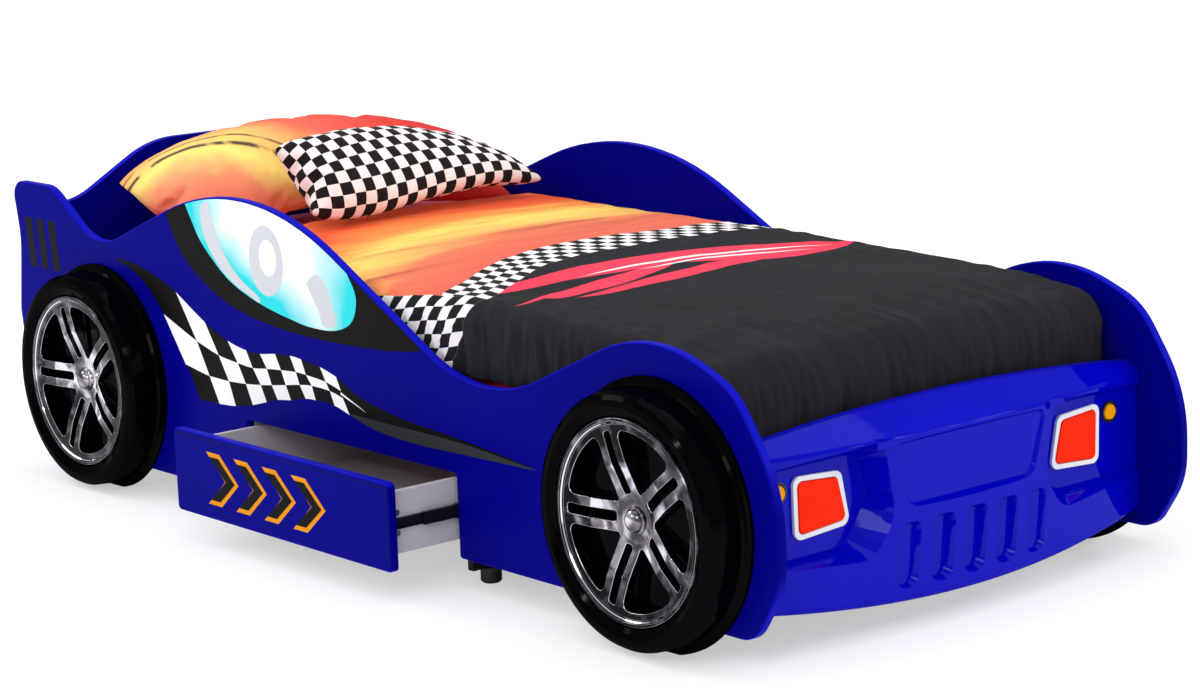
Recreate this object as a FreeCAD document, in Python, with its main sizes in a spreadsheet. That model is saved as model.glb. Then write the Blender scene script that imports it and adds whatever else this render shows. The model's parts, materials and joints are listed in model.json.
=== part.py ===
"""Children's car bed: side panels cut as a car body, moulded front, dummy wheels, one drawer.

Frame: +X to the car's front (foot end), -Y is the side with the drawer, +Z up, floor at z = 0.
The origin is on the floor at the foot under the middle of the bed. Lengths are in millimetres.
"""
import FreeCAD, Part
import math
import os
import Sketcher

V = FreeCAD.Vector
os.makedirs("parts", exist_ok=True)
doc = FreeCAD.newDocument("car_bed")

# ---------------------------------------------------------------- driving dimensions
SIZES = {
    # side panels
    "outer_width": 1030, "panel_thick": 18, "rear_end": 1208, "front_end": 1206,
    "fin_height": 624, "window_height": 658, "side_dip": 393, "bonnet_height": 530,
    "panel_bottom": 56, "lobe_radius": 230, "lobe_blend": 40, "edge_chamfer": 2,
    # wheels
    "rear_wheel_x": -868, "front_wheel_x": 907, "wheel_height": 234,
    "base_ring_radius": 240, "base_ring_thick": 6, "tyre_radius": 223, "tyre_depth": 81, "tyre_wall": 4,
    "rim_radius": 182, "rim_sink": 44, "rim_rise": 4, "rim_play": 1.2, "spoke_half": 26,
    "spoke_slot_half": 9.5, "hub_radius": 40, "hub_sink": 24, "cap_radius": 25,
    # boards across the bed
    "board_thick": 18, "head_inner": -1020, "foot_inner": 1062, "head_top": 701, "head_shoulder": 592,
    "head_bottom": 110, "foot_crown": 392, "foot_end_height": 366, "foot_bottom": 90,
    # moulded front
    "bumper_crown": 1158, "bumper_end": 1106, "ridge_height": 348, "bumper_low": 52,
    "bumper_low_end": 88, "niche_floor": 1099, "mouth_floor": 1146, "slot_floor": 1142,
    "slot_pitch": 81, "slot_width": 52, "slot_height": 116, "slot_low": 80, "mould_wall": 8,
    "mouth_low": 226, "mouth_high": 334, "mouth_half": 152, "lug_centre": 216, "lug_rise": 7,
    # lamps
    "lamp_centre": 318, "lamp_height": 252, "lamp_frame_thick": 6, "lens_gap": 0.3,
    "marker_centre": 418, "marker_height": 285, "marker_radius": 20, "marker_ring": 4,
    # bed base
    "slat_top": 330, "slat_thick": 18, "slat_width": 70, "rail_height": 40, "rail_thick": 30,
    "foot_height": 30, "foot_radius": 20, "glide_thick": 4, "glide_radius": 12,
    # drawer bay and drawer
    "bay_rear": -336, "bay_front": 348, "bay_height": 216, "partition_thick": 16,
    "partition_top": 272, "drawer_open": 148, "drawer_overlay": 12, "drawer_front_thick": 16,
    "drawer_front_low": 62, "drawer_length": 450, "drawer_low": 88, "drawer_high": 204,
    "drawer_wall": 12, "drawer_base": 5, "base_rise": 10, "cam_radius": 6, "cam_depth": 8,
    # runners
    "runner_space": 12.7, "runner_height": 27, "runner_sheet": 1.2, "runner_z": 145,
    "runner_play": 0.5,
    # brackets
    "bracket_leg": 40, "bracket_width": 40, "bracket_sheet": 2,
    # soft parts
    "mattress_length": 2000, "mattress_width": 900, "mattress_height": 165, "soft_gap": 0.3,
    "duvet_thick": 38, "duvet_crown": 14, "duvet_head": -640, "duvet_width": 974, "duvet_fall": 22,
    "duvet_skirt": 105,
    "pillow_length": 860, "pillow_depth": 400, "pillow_thick": 160, "pillow_droop": 124,
    "pillow_lean": 30, "pillow_side": 45,
    "cushion_length": 725, "cushion_depth": 260, "cushion_thick": 120, "cushion_droop": 50,
    "cushion_lean": 26, "cushion_turn": 8, "cushion_side": 117,
}
sheet = doc.addObject("Spreadsheet::Sheet", "Sizes")
for row, (alias, value) in enumerate(SIZES.items(), 1):
    sheet.set(f"A{row}", str(value))
    sheet.setAlias(f"A{row}", alias)
doc.recompute()


def size(alias):
    """A driving dimension, read back from the sheet."""
    return float(sheet.get(alias))


NODES = []


# ---------------------------------------------------------------- helpers
def add_node(kind, label):
    obj = doc.addObject(kind, label)
    obj.Label = label
    NODES.append(obj)
    return obj


def bind(obj, **expressions):
    """Ties properties to the sheet; double underscores stand for dots."""
    for prop, text in expressions.items():
        obj.setExpression(prop.replace("__", "."), text)


def place(obj, x="0", y="0", z="0"):
    bind(obj, Placement__Base__x=x, Placement__Base__y=y, Placement__Base__z=z)


def board(label, x, y, z, length, width, height):
    """A rectangular board; every argument is an expression in the sheet's names."""
    box = add_node("Part::Box", label)
    bind(box, Length=length, Width=width, Height=height)
    place(box, x, y, z)
    return box


def sketch_on(body, name, role, offset="0"):
    sketch = body.newObject("Sketcher::SketchObject", name)
    plane = next(f for f in body.Origin.OriginFeatures if f.Role == role)
    sketch.AttachmentSupport = [(plane, "")]
    sketch.MapMode = "FlatFace"
    sketch.setExpression("AttachmentOffset.Base.z", offset)
    return sketch


def pad(body, sketch, length, name="Pad"):
    feature = body.newObject("PartDesign::Pad", name)
    feature.Profile = sketch
    feature.setExpression("Length", length)
    body.Tip = feature
    return feature


def pocket(body, sketch, length, name):
    """Cuts towards the sketch's normal, and checks that it cut."""
    doc.recompute()
    before = body.Shape.Volume
    feature = body.newObject("PartDesign::Pocket", name)
    feature.Profile = sketch
    feature.setExpression("Length", length)
    feature.Reversed = True
    body.Tip = feature
    doc.recompute()
    assert 0 < body.Shape.Volume < before, f"{name} cut nothing"
    return feature


def grown(corners, step):
    """The same outline let out by a step on every side."""
    mid_u = sum(c[0] for c in corners) / len(corners)
    mid_v = sum(c[1] for c in corners) / len(corners)
    return [(u + math.copysign(step, u - mid_u), v + math.copysign(step, v - mid_v), radius + step / 2)
            for u, v, radius in corners]


def moulded_recess(body, name, corners, floor, mouth, flare):
    """A recess with flared walls, from its floor plane out to a plane ahead of the moulding."""
    doc.recompute()
    before = body.Shape.Volume
    outlines = []
    for level, x, let_out in (("floor", floor, 0), ("mouth", mouth, flare)):
        sketch = sketch_on(body, f"{name}_{level}", "YZ_Plane", x)
        draw(sketch, rounded_path(grown(corners, let_out)))
        outlines.append(sketch)
    recess = body.newObject("PartDesign::SubtractiveLoft", name)
    recess.Profile = outlines[0]
    recess.Sections = outlines[1:]
    recess.Ruled = True
    body.Tip = recess
    doc.recompute()
    assert 0 < body.Shape.Volume < before, f"{name} cut nothing"


def polar(body, feature, sketch, count, name):
    pattern = body.newObject("PartDesign::PolarPattern", name)
    pattern.Originals = [feature]
    pattern.Axis = (sketch, ["N_Axis"])
    pattern.Angle = 360
    pattern.Occurrences = count
    body.Tip = pattern
    return pattern


def tangent_points(before, corner, after, radius):
    """Where an arc of this radius meets the two runs at a corner, and its middle point."""
    to_before = (before - corner).normalize()
    to_after = (after - corner).normalize()
    half = to_before.getAngle(to_after) / 2
    reach = radius / math.tan(half)
    bisector = (to_before + to_after).normalize()
    middle = corner + bisector * (radius / math.sin(half) - radius)
    return corner + to_before * reach, middle, corner + to_after * reach


def rounded_path(corners, closed=True):
    """Straight runs and tangent arcs through corners (u, v, radius)."""
    points = [V(u, v, 0) for u, v, _ in corners]
    count = len(points)
    pieces = []
    first = last = None
    for i, (_, _, radius) in enumerate(corners):
        inner = closed or 0 < i < count - 1
        if radius and inner:
            start, middle, end = tangent_points(points[i - 1], points[i], points[(i + 1) % count], radius)
        else:
            start = middle = end = points[i]
        if last is not None and (start - last).Length > 1e-4:
            pieces.append(Part.LineSegment(last, start))
        if radius and inner:
            pieces.append(Part.Arc(start, middle, end))
        first = start if first is None else first
        last = end
    if closed and (first - last).Length > 1e-4:
        pieces.append(Part.LineSegment(last, first))
    return pieces


def draw(sketch, pieces):
    for piece in pieces:
        sketch.addGeometry(piece, False)


def draw_circle(sketch, x, y, radius, name):
    """A circle whose centre and radius are expressions."""
    index = sketch.addGeometry(Part.Circle(V(1, 1, 0), V(0, 0, 1), 5), False)
    for kind, text in (("DistanceX", x), ("DistanceY", y)):
        row = sketch.addConstraint(Sketcher.Constraint(kind, -1, 1, index, 3, 1.0))
        sketch.renameConstraint(row, f"{name}_{kind[-1]}")
        sketch.setExpression(f"Constraints.{name}_{kind[-1]}", text)
    row = sketch.addConstraint(Sketcher.Constraint("Radius", index, 5.0))
    sketch.renameConstraint(row, f"{name}_R")
    sketch.setExpression(f"Constraints.{name}_R", radius)


# ---------------------------------------------------------------- side panels
def lobe(centre_x):
    """The panel's lower edge round a wheel: blend arc, lobe arc, blend arc, from -x to +x."""
    radius, blend = size("lobe_radius"), size("lobe_blend")
    centre = V(centre_x, size("wheel_height"), 0)
    drop = size("wheel_height") - size("panel_bottom") + blend
    reach = math.sqrt((radius + blend) ** 2 - drop ** 2)
    blends = [centre + V(side * reach, -drop, 0) for side in (-1, 1)]
    edge = [centre + (b - centre) * (radius / (radius + blend)) for b in blends]
    flat = [b + V(0, blend, 0) for b in blends]

    def blend_middle(i):
        return blends[i] + ((edge[i] + flat[i]) / 2 - blends[i]).normalize() * blend

    bottom = centre - V(0, radius, 0)
    return flat, [Part.Arc(flat[0], blend_middle(0), edge[0]), Part.Arc(edge[0], bottom, edge[1]),
                  Part.Arc(edge[1], blend_middle(1), flat[1])]


def panel_outline(with_bay):
    """Car-body silhouette in the XZ plane."""
    rear, front, low = -size("rear_end"), size("front_end"), size("panel_bottom")
    fin, window, dip = size("fin_height"), size("window_height"), size("side_dip")
    bonnet = size("bonnet_height")
    rear_flat, rear_lobe = lobe(size("rear_wheel_x"))
    front_flat, front_lobe = lobe(size("front_wheel_x"))
    over = [
        (rear_flat[0].x, low, 0),
        (rear + 66, low, 60), (rear + 16, fin * 0.29, 160), (rear - 4, fin * 0.545, 80),
        (rear + 18, fin * 0.8, 200),
        (rear - 6, fin, 34), (rear + 160, fin, 90), (rear + 338, fin - 118, 165),
        (-297, window + 71, 700), (430, dip - 43, 370), (896, bonnet + 28, 330),
        (front - 104, bonnet - 54, 150), (front, 322, 280), (front, 158, 150), (front - 66, low, 60),
        (front_flat[1].x, low, 0),
    ]
    under = [(front_flat[0].x, low, 0)]
    if with_bay:
        bay = size("bay_height")
        under += [(size("bay_front"), low, 6), (size("bay_front"), bay, 10),
                  (size("bay_rear"), bay, 10), (size("bay_rear"), low, 6)]
    under += [(rear_flat[1].x, low, 0)]
    return rounded_path(over, False) + front_lobe + rounded_path(under, False) + rear_lobe


def ease_edges(body, feature, chosen, name):
    """Breaks every edge of the faces of a feature that the test chooses."""
    doc.recompute()
    faces = [f"Face{i}" for i, face in enumerate(feature.Shape.Faces, 1) if chosen(face)]
    chamfer = body.newObject("PartDesign::Chamfer", name)
    chamfer.Base = (feature, faces)
    chamfer.setExpression("Size", "Sizes.edge_chamfer")
    body.Tip = chamfer


def side_panel(label, near):
    body = add_node("PartDesign::Body", label)
    inner = "Sizes.outer_width / 2 - Sizes.panel_thick"
    outline = sketch_on(body, f"{label}_outline", "XZ_Plane",
                        inner if near else "-Sizes.outer_width / 2")
    draw(outline, panel_outline(with_bay=near))
    cut = pad(body, outline, "Sizes.panel_thick", f"{label}_board")
    broad = size("rear_end") * size("side_dip") / 2
    ease_edges(body, cut, lambda face: face.Area > broad, f"{label}_eased")


side_panel("side_panel_right", near=True)
side_panel("side_panel_left", near=False)


# ---------------------------------------------------------------- boards across the bed
def head_outline():
    half = size("outer_width") / 2 - size("panel_thick")
    top, shoulder, low = size("head_top"), size("head_shoulder"), size("head_bottom")
    return rounded_path([
        (-half, low, 0), (-half, shoulder - 4, 0), (-half + 50, shoulder + 8, 150), (-270, top, 240),
        (270, top, 240), (half - 50, shoulder + 8, 150), (half, shoulder - 4, 0), (half, low, 0)])


def foot_outline():
    half = size("outer_width") / 2 - size("panel_thick")
    end, crown, low = size("foot_end_height"), size("foot_crown"), size("foot_bottom")
    arc = Part.Arc(V(-half, end, 0), V(0, crown, 0), V(half, end, 0))
    return [arc, Part.LineSegment(V(half, end, 0), V(half, low, 0)),
            Part.LineSegment(V(half, low, 0), V(-half, low, 0)),
            Part.LineSegment(V(-half, low, 0), V(-half, end, 0))]


def cross_board(label, outline, offset):
    body = add_node("PartDesign::Body", label)
    sketch = sketch_on(body, f"{label}_outline", "YZ_Plane", offset)
    draw(sketch, outline)
    pad(body, sketch, "Sizes.board_thick", f"{label}_board")
    return body


cross_board("headboard", head_outline(), "Sizes.head_inner - Sizes.board_thick")
cross_board("foot_board", foot_outline(), "Sizes.foot_inner")


# ---------------------------------------------------------------- moulded front
def bumper_section(end):
    """Side profile of the front moulding, rounded at the ridge of its ledge and at its lower edge."""
    back = size("foot_inner") + size("board_thick")
    front = size("bumper_end" if end else "bumper_crown")
    low = size("bumper_low_end" if end else "bumper_low")
    top = size("foot_end_height" if end else "foot_crown")
    ridge = size("ridge_height")
    return rounded_path([(back, low, 0), (front, low, 10), (front, ridge, 8), (back, top, 0)])


def front_bumper():
    body = add_node("PartDesign::Body", "front_bumper")
    half = "Sizes.outer_width / 2 - Sizes.panel_thick - 0.3"
    sections = []
    for name, offset, end in (("near", half, True), ("middle", "0", False), ("far", f"-({half})", True)):
        sketch = sketch_on(body, f"bumper_{name}_section", "XZ_Plane", offset)
        draw(sketch, bumper_section(end))
        sections.append(sketch)
    loft = body.newObject("PartDesign::AdditiveLoft", "bumper_block")
    loft.Profile = sections[0]
    loft.Sections = sections[1:]
    body.Tip = loft
    # lamp niches run out to the side panels
    ahead = "Sizes.bumper_crown + 12"
    reach = size("outer_width") / 2
    for name, side in (("right", -1), ("left", 1)):
        corners = [(side * reach, 166, 0), (side * 262, 166, 46), (side * 214, 235, 50),
                   (side * 236, 322, 16), (side * reach, 322, 0)]
        moulded_recess(body, f"niche_{name}", corners, "Sizes.niche_floor", ahead, 34)
    half_mouth, mouth_low, mouth_high = size("mouth_half"), size("mouth_low"), size("mouth_high")
    mouth = [(-half_mouth, mouth_low, 26), (half_mouth, mouth_low, 26),
             (half_mouth + 38, mouth_high, 12), (-half_mouth - 38, mouth_high, 12)]
    moulded_recess(body, "mouth", mouth, "Sizes.mouth_floor", ahead, 16)
    low, high = size("slot_low") + 6, size("slot_low") + size("slot_height") - 6
    half_width = size("slot_width") / 2 - 6
    lean = 6
    for step in range(-2, 3):
        centre = step * size("slot_pitch")
        slot = [(centre - half_width - lean, low, half_width * 0.9),
                (centre + half_width - lean, low, half_width * 0.9),
                (centre + half_width + lean, high, half_width * 0.6),
                (centre - half_width + lean, high, half_width * 0.6)]
        moulded_recess(body, f"grille_slot_{step + 3}", slot, "Sizes.slot_floor", ahead, 13)
    # a lug on the ridge at each end of the mouth
    ridge = size("ridge_height")
    lugs = sketch_on(body, "ridge_lugs_outline", "YZ_Plane", "Sizes.mouth_floor - 20")
    for side in (-1, 1):
        middle = side * size("lug_centre")
        draw(lugs, rounded_path([(middle - 30, ridge - 20, 9), (middle + 30, ridge - 20, 9),
                                 (middle + 24, ridge + 7, 9), (middle - 24, ridge + 7, 9)]))
    pad(body, lugs, "22 + Sizes.lug_rise", "ridge_lugs").TaperAngle = -14
    # the back is hollowed between moulded ribs
    hollow = sketch_on(body, "hollow_outline", "YZ_Plane", "Sizes.foot_inner + Sizes.board_thick")
    for step in range(-2, 3):
        centre = step * size("slot_pitch")
        draw(hollow, rounded_path([(centre - 34, 100, 8), (centre + 34, 100, 8),
                                   (centre + 34, 320, 8), (centre - 34, 320, 8)]))
    pocket(body, hollow, "Sizes.slot_floor - Sizes.foot_inner - Sizes.board_thick - Sizes.mould_wall",
           "back_hollows")


front_bumper()


# ---------------------------------------------------------------- lamps
def lamp_outline(side, inset):
    """Rounded four-sided lamp outline; side is -1 on the right and +1 on the left."""
    centre, height = size("lamp_centre"), size("lamp_height")
    corners = [(68, 56), (-44, 49), (-64, -48), (66, -56)]
    radius = 16 - inset / 2
    return rounded_path([(side * (centre + u - math.copysign(inset, u)), height + w - math.copysign(inset, w),
                          radius) for u, w in corners])


for name, side in (("right", -1), ("left", 1)):
    frame_body = add_node("PartDesign::Body", f"headlight_frame_{name}")
    ring = sketch_on(frame_body, f"lamp_ring_{name}", "YZ_Plane", "Sizes.niche_floor")
    draw(ring, lamp_outline(side, 0))
    draw(ring, lamp_outline(side, 9))
    pad(frame_body, ring, "Sizes.lamp_frame_thick", f"lamp_frame_{name}")
    lens_body = add_node("PartDesign::Body", f"headlight_lens_{name}")
    pane = sketch_on(lens_body, f"lamp_pane_{name}", "YZ_Plane", "Sizes.niche_floor")
    draw(pane, lamp_outline(side, 9 + size("lens_gap")))
    pane_pad = pad(lens_body, pane, "Sizes.lamp_frame_thick + 2", f"lamp_lens_{name}")
    pane_pad.TaperAngle = -12
    ring_body = add_node("PartDesign::Body", f"marker_ring_{name}")
    circles = sketch_on(ring_body, f"marker_circles_{name}", "YZ_Plane", "Sizes.niche_floor")
    centre = f"{side} * Sizes.marker_centre"
    draw_circle(circles, centre, "Sizes.marker_height", "Sizes.marker_radius", "outer")
    draw_circle(circles, centre, "Sizes.marker_height", "Sizes.marker_radius - Sizes.marker_ring", "inner")
    pad(ring_body, circles, "4", f"marker_ring_pad_{name}")
    bulb_body = add_node("PartDesign::Body", f"marker_lens_{name}")
    disc = sketch_on(bulb_body, f"marker_disc_{name}", "YZ_Plane", "Sizes.niche_floor")
    draw_circle(disc, centre, "Sizes.marker_height",
                "Sizes.marker_radius - Sizes.marker_ring - Sizes.lens_gap", "disc")
    pad(bulb_body, disc, "6", f"marker_lens_pad_{name}").TaperAngle = -20


# ---------------------------------------------------------------- wheels
def wheel_place(body, x_alias, side):
    """Wheel bodies are drawn facing +Z round the origin; this turns them outwards."""
    turn = FreeCAD.Rotation(V(1, 0, 0), 90 if side < 0 else -90)
    body.Placement = FreeCAD.Placement(V(0, 0, 0), turn)
    place(body, f"Sizes.{x_alias}", f"{side} * Sizes.outer_width / 2", "Sizes.wheel_height")


def turned(label, outline, x_alias, side):
    """A body turned about its own axis from an outline of (radius, height) points, put in its place."""
    body = add_node("PartDesign::Body", label)
    profile = sketch_on(body, f"{label}_profile", "XZ_Plane")
    draw(profile, rounded_path([(radius, height, 0) for radius, height in outline]))
    revolve = body.newObject("PartDesign::Revolution", f"{label}_turned")
    revolve.Profile = profile
    revolve.ReferenceAxis = (profile, ["V_Axis"])
    revolve.Angle = 360
    body.Tip = revolve
    wheel_place(body, x_alias, side)
    return body


def tyre(label, x_alias, side):
    """Moulded tyre, open behind: base ring on the panel, tread, shoulder, sidewall, dish for the rim."""
    base, base_z = size("base_ring_radius"), size("base_ring_thick")
    tread, depth, wall = size("tyre_radius"), size("tyre_depth"), size("tyre_wall")
    seat = size("rim_radius") + size("rim_play")
    dish = depth - size("rim_sink")
    outside = [(base, 0), (base, base_z), (tread + 6, base_z + 4), (tread + 2, base_z + 9),
               (tread + 3, depth * 0.5), (tread + 1, depth - 14), (tread - 4, depth - 5),
               (tread - 12, depth - 0.5), (tread - 23, depth + 1), (seat + 8, depth - 3),
               (seat, depth - 8), (seat, dish), (0, dish)]
    inside = [(0, dish - wall), (seat + wall, dish - wall), (seat + wall, depth - 10),
              (tread - 24, depth + 1 - wall), (tread - 9, depth - 9), (tread - wall, depth * 0.5),
              (tread - wall, 0)]
    turned(label, outside + inside, x_alias, side)


def rim(label, x_alias, side):
    """Dished rim: a turned disc kinked half way in, cut by five windows and five spoke slots."""
    outer, depth, hub = size("rim_radius"), size("tyre_depth"), size("hub_radius")
    face = depth - 12 + size("rim_rise")
    seat = depth - size("rim_sink")
    kink = (outer + hub) * 0.47
    hub_face = face - size("hub_sink")
    body = turned(label, [
        (0, seat), (hub, seat), (hub, hub_face - 10), (kink, face - 26), (outer - 18, face - 18),
        (outer - 10, seat), (outer, seat), (outer, face - 2), (outer - 3, face + 1), (outer - 8, face + 1),
        (outer - 14, face - 5), (kink, face - 9), (hub, hub_face), (0, hub_face)], x_alias, side)
    half, slot = size("spoke_half"), size("spoke_slot_half")
    reach = outer - 24
    half_turn = math.radians(36)
    # the window between two spokes, drawn round the bisector along +X
    inner = half / math.sin(half_turn)
    corner = reach * math.cos(half_turn - math.asin(half / reach))
    window = sketch_on(body, f"{label}_window", "XY_Plane", "Sizes.tyre_depth - Sizes.rim_sink")
    side_y = (corner - inner) * math.tan(half_turn)
    draw(window, rounded_path([(inner, 0, 7), (corner, -side_y, 13), (reach * 1.06, 0, reach),
                               (corner, side_y, 13)]))
    cut = pocket(body, window, "Sizes.tyre_depth", f"{label}_window_cut")
    polar(body, cut, window, 5, f"{label}_windows")
    # the slot that splits each spoke in two
    slots = sketch_on(body, f"{label}_slot", "XY_Plane", "Sizes.tyre_depth - Sizes.rim_sink")
    slot_start, end_round = hub + 6, slot * 0.7
    draw(slots, rounded_path([(-slot_start, -slot, end_round), (-slot_start, slot, end_round),
                              (-reach, slot, end_round), (-reach, -slot, end_round)]))
    cut = pocket(body, slots, "Sizes.tyre_depth", f"{label}_slot_cut")
    polar(body, cut, slots, 5, f"{label}_slots")


def hub_cap(label, x_alias, side):
    """Domed cap with a raised collar, on the rim's hub."""
    seat = size("tyre_depth") - 12 + size("rim_rise") - size("hub_sink")
    radius = size("cap_radius")
    turned(label, [(0, seat), (radius, seat), (radius, seat + 8), (radius - 5, seat + 10),
                   (radius - 7, seat + 7), (radius - 11, seat + 7), (radius - 12, seat + 11),
                   (radius - 17, seat + 15), (0, seat + 16)], x_alias, side)


for place_name, x_alias in (("rear", "rear_wheel_x"), ("front", "front_wheel_x")):
    for side_name, side in (("right", -1), ("left", 1)):
        tyre(f"tyre_{place_name}_{side_name}", x_alias, side)
        rim(f"rim_{place_name}_{side_name}", x_alias, side)
        hub_cap(f"hub_cap_{place_name}_{side_name}", x_alias, side)


# ---------------------------------------------------------------- bed base
INNER = "(Sizes.outer_width / 2 - Sizes.panel_thick)"
RAIL_LENGTH = "Sizes.foot_inner - Sizes.head_inner"
RAIL_LOW = "Sizes.slat_top - Sizes.slat_thick - Sizes.rail_height"
board("slat_rail_right", "Sizes.head_inner", f"-{INNER}", RAIL_LOW, RAIL_LENGTH, "Sizes.rail_thick",
      "Sizes.rail_height")
board("slat_rail_left", "Sizes.head_inner", f"{INNER} - Sizes.rail_thick", RAIL_LOW, RAIL_LENGTH,
      "Sizes.rail_thick", "Sizes.rail_height")


def group(label, shapes):
    """Several like pieces in one node, as separate solids."""
    obj = add_node("Part::Feature", label)
    obj.Shape = Part.makeCompound(shapes)
    return obj


def slats():
    count = 14
    start, stop = size("head_inner") + 30, size("foot_inner") - 30
    half = size("outer_width") / 2 - size("panel_thick") - 2
    pitch = (stop - start - size("slat_width")) / (count - 1)
    low = size("slat_top") - size("slat_thick")
    return [Part.makeBox(size("slat_width"), 2 * half, size("slat_thick"), V(start + i * pitch, -half, low))
            for i in range(count)]


group("bed_slats", slats())

PART_LOW = "Sizes.foot_height"
board("bay_partition_rear", "Sizes.bay_rear - Sizes.partition_thick", f"-{INNER}", PART_LOW,
      "Sizes.partition_thick", f"{INNER} - Sizes.partition_thick / 2",
      "Sizes.partition_top - Sizes.foot_height")
board("bay_partition_front", "Sizes.bay_front", f"-{INNER}", PART_LOW, "Sizes.partition_thick",
      f"{INNER} - Sizes.partition_thick / 2", "Sizes.partition_top - Sizes.foot_height")
board("bay_back_board", "Sizes.bay_rear - Sizes.partition_thick", "-Sizes.partition_thick / 2", PART_LOW,
      "Sizes.bay_front - Sizes.bay_rear + 2 * Sizes.partition_thick", "Sizes.partition_thick",
      "Sizes.slat_top - Sizes.slat_thick - Sizes.foot_height")


def base_feet():
    """Turned feet: one under the middle of the back board, two under each partition."""
    rear = size("bay_rear") - size("partition_thick") / 2
    front = size("bay_front") + size("partition_thick") / 2
    near = -size("outer_width") / 2 + size("panel_thick") + 47
    spots = [(0, 0)] + [(x, y) for x in (rear, front) for y in (near, -70)]
    feet = []
    for x, y in spots:
        foot = Part.makeCylinder(size("foot_radius"), size("foot_height"), V(x, y, 0))
        feet.append(foot.makeChamfer(4, [e for e in foot.Edges if e.BoundBox.ZMax < 0.1]))
    return feet


def floor_glides():
    """A felt glide under the lowest point of each wheel lobe."""
    mid = size("outer_width") / 2 - size("panel_thick") / 2
    glides = []
    for x in (size("rear_wheel_x"), size("front_wheel_x")):
        for y in (-mid, mid):
            pad_box = Part.makeBox(2 * size("glide_radius"), size("panel_thick") - 2, size("glide_thick") + 2,
                                   V(x - size("glide_radius"), y - size("panel_thick") / 2 + 1, 0))
            wheel = Part.makeCylinder(size("lobe_radius"), size("panel_thick"),
                                      V(x, y - size("panel_thick") / 2, size("wheel_height")), V(0, 1, 0))
            glides.append(pad_box.cut(wheel))
    return glides


group("base_feet", base_feet())
group("floor_glides", floor_glides())


def corner_brackets():
    """Bent steel angles in the corners between side panels and head or foot board."""
    leg, width, sheet_thick = size("bracket_leg"), size("bracket_width"), size("bracket_sheet")
    inner = size("outer_width") / 2 - size("panel_thick")
    brackets = []
    for corner_x, way in ((size("head_inner"), 1), (size("foot_inner"), -1)):
        for side in (-1, 1):
            for z in (120, 205):
                wall = [V(corner_x, side * inner, z), V(corner_x + way * leg, side * inner, z),
                        V(corner_x + way * leg, side * (inner - sheet_thick), z),
                        V(corner_x + way * sheet_thick, side * (inner - sheet_thick), z),
                        V(corner_x + way * sheet_thick, side * (inner - leg), z),
                        V(corner_x, side * (inner - leg), z)]
                face = Part.Face(Part.makePolygon(wall + wall[:1]))
                brackets.append(face.extrude(V(0, 0, width)))
    return brackets


group("corner_brackets", corner_brackets())


# ---------------------------------------------------------------- drawer
FRONT_FACE = "(-Sizes.outer_width / 2 - Sizes.drawer_open)"
BOX_REAR = "(Sizes.bay_rear + Sizes.runner_space)"
BOX_FRONT = "(Sizes.bay_front - Sizes.runner_space)"


def drawer_front():
    body = add_node("PartDesign::Body", "drawer_front")
    outline = sketch_on(body, "drawer_front_outline", "XZ_Plane",
                        "Sizes.outer_width / 2 + Sizes.drawer_open")
    over = size("drawer_overlay")
    rear, front = size("bay_rear") - over, size("bay_front") + over
    low, high = size("drawer_front_low"), size("bay_height") + over
    draw(outline, rounded_path([(rear, low, 10), (front, low, 10), (front, high, 10), (rear, high, 10)]))
    cut = pad(body, outline, "Sizes.drawer_front_thick", "drawer_front_board")
    outer_y = -size("outer_width") / 2 - size("drawer_open") - size("drawer_front_thick")
    ease_edges(body, cut, lambda face: abs(face.CenterOfMass.y - outer_y) < 0.1, "drawer_front_eased")


def drawer_side(label, x_low, cam_face, way):
    """Drawer side with two blind cam holes in its outer face near the front."""
    box = doc.addObject("Part::Box", f"{label}_board")
    bind(box, Length="Sizes.drawer_wall", Width="Sizes.drawer_length",
         Height="Sizes.drawer_high - Sizes.drawer_low")
    place(box, x_low, FRONT_FACE, "Sizes.drawer_low")
    holes = []
    for name, z in (("low", 126), ("high", 164)):
        hole = doc.addObject("Part::Cylinder", f"{label}_hole_{name}")
        bind(hole, Radius="Sizes.cam_radius", Height="Sizes.cam_depth")
        hole.Placement = FreeCAD.Placement(V(0, 0, 0), FreeCAD.Rotation(V(0, 1, 0), 90 * way))
        place(hole, cam_face, f"{FRONT_FACE} + 20", str(z))
        holes.append(hole)
    union = doc.addObject("Part::MultiFuse", f"{label}_holes")
    union.Shapes = holes
    cut = add_node("Part::Cut", label)
    cut.Base, cut.Tool = box, union


drawer_front()
drawer_side("drawer_side_rear", BOX_REAR, BOX_REAR, 1)
drawer_side("drawer_side_front", f"{BOX_FRONT} - Sizes.drawer_wall", BOX_FRONT, -1)
board("drawer_back", f"{BOX_REAR} + Sizes.drawer_wall",
      f"{FRONT_FACE} + Sizes.drawer_length - Sizes.drawer_wall",
      "Sizes.drawer_low + Sizes.base_rise + Sizes.drawer_base",
      f"{BOX_FRONT} - {BOX_REAR} - 2 * Sizes.drawer_wall", "Sizes.drawer_wall",
      "Sizes.drawer_high - Sizes.drawer_low - Sizes.base_rise - Sizes.drawer_base")
board("drawer_bottom", f"{BOX_REAR} + Sizes.drawer_wall", FRONT_FACE, "Sizes.drawer_low + Sizes.base_rise",
      f"{BOX_FRONT} - {BOX_REAR} - 2 * Sizes.drawer_wall", "Sizes.drawer_length", "Sizes.drawer_base")


def drawer_cams():
    """Cam covers that fill the blind holes, with a running gap round them."""
    play = 0.2
    front_y = -size("outer_width") / 2 - size("drawer_open") + 20
    rear = size("bay_rear") + size("runner_space")
    front = size("bay_front") - size("runner_space")
    radius, depth = size("cam_radius") - play, size("cam_depth")
    return [Part.makeCylinder(radius, depth, V(x, front_y, z), V(way, 0, 0))
            for x, way in ((rear, 1), (front, -1)) for z in (126, 164)]


group("drawer_cams", drawer_cams())


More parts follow.
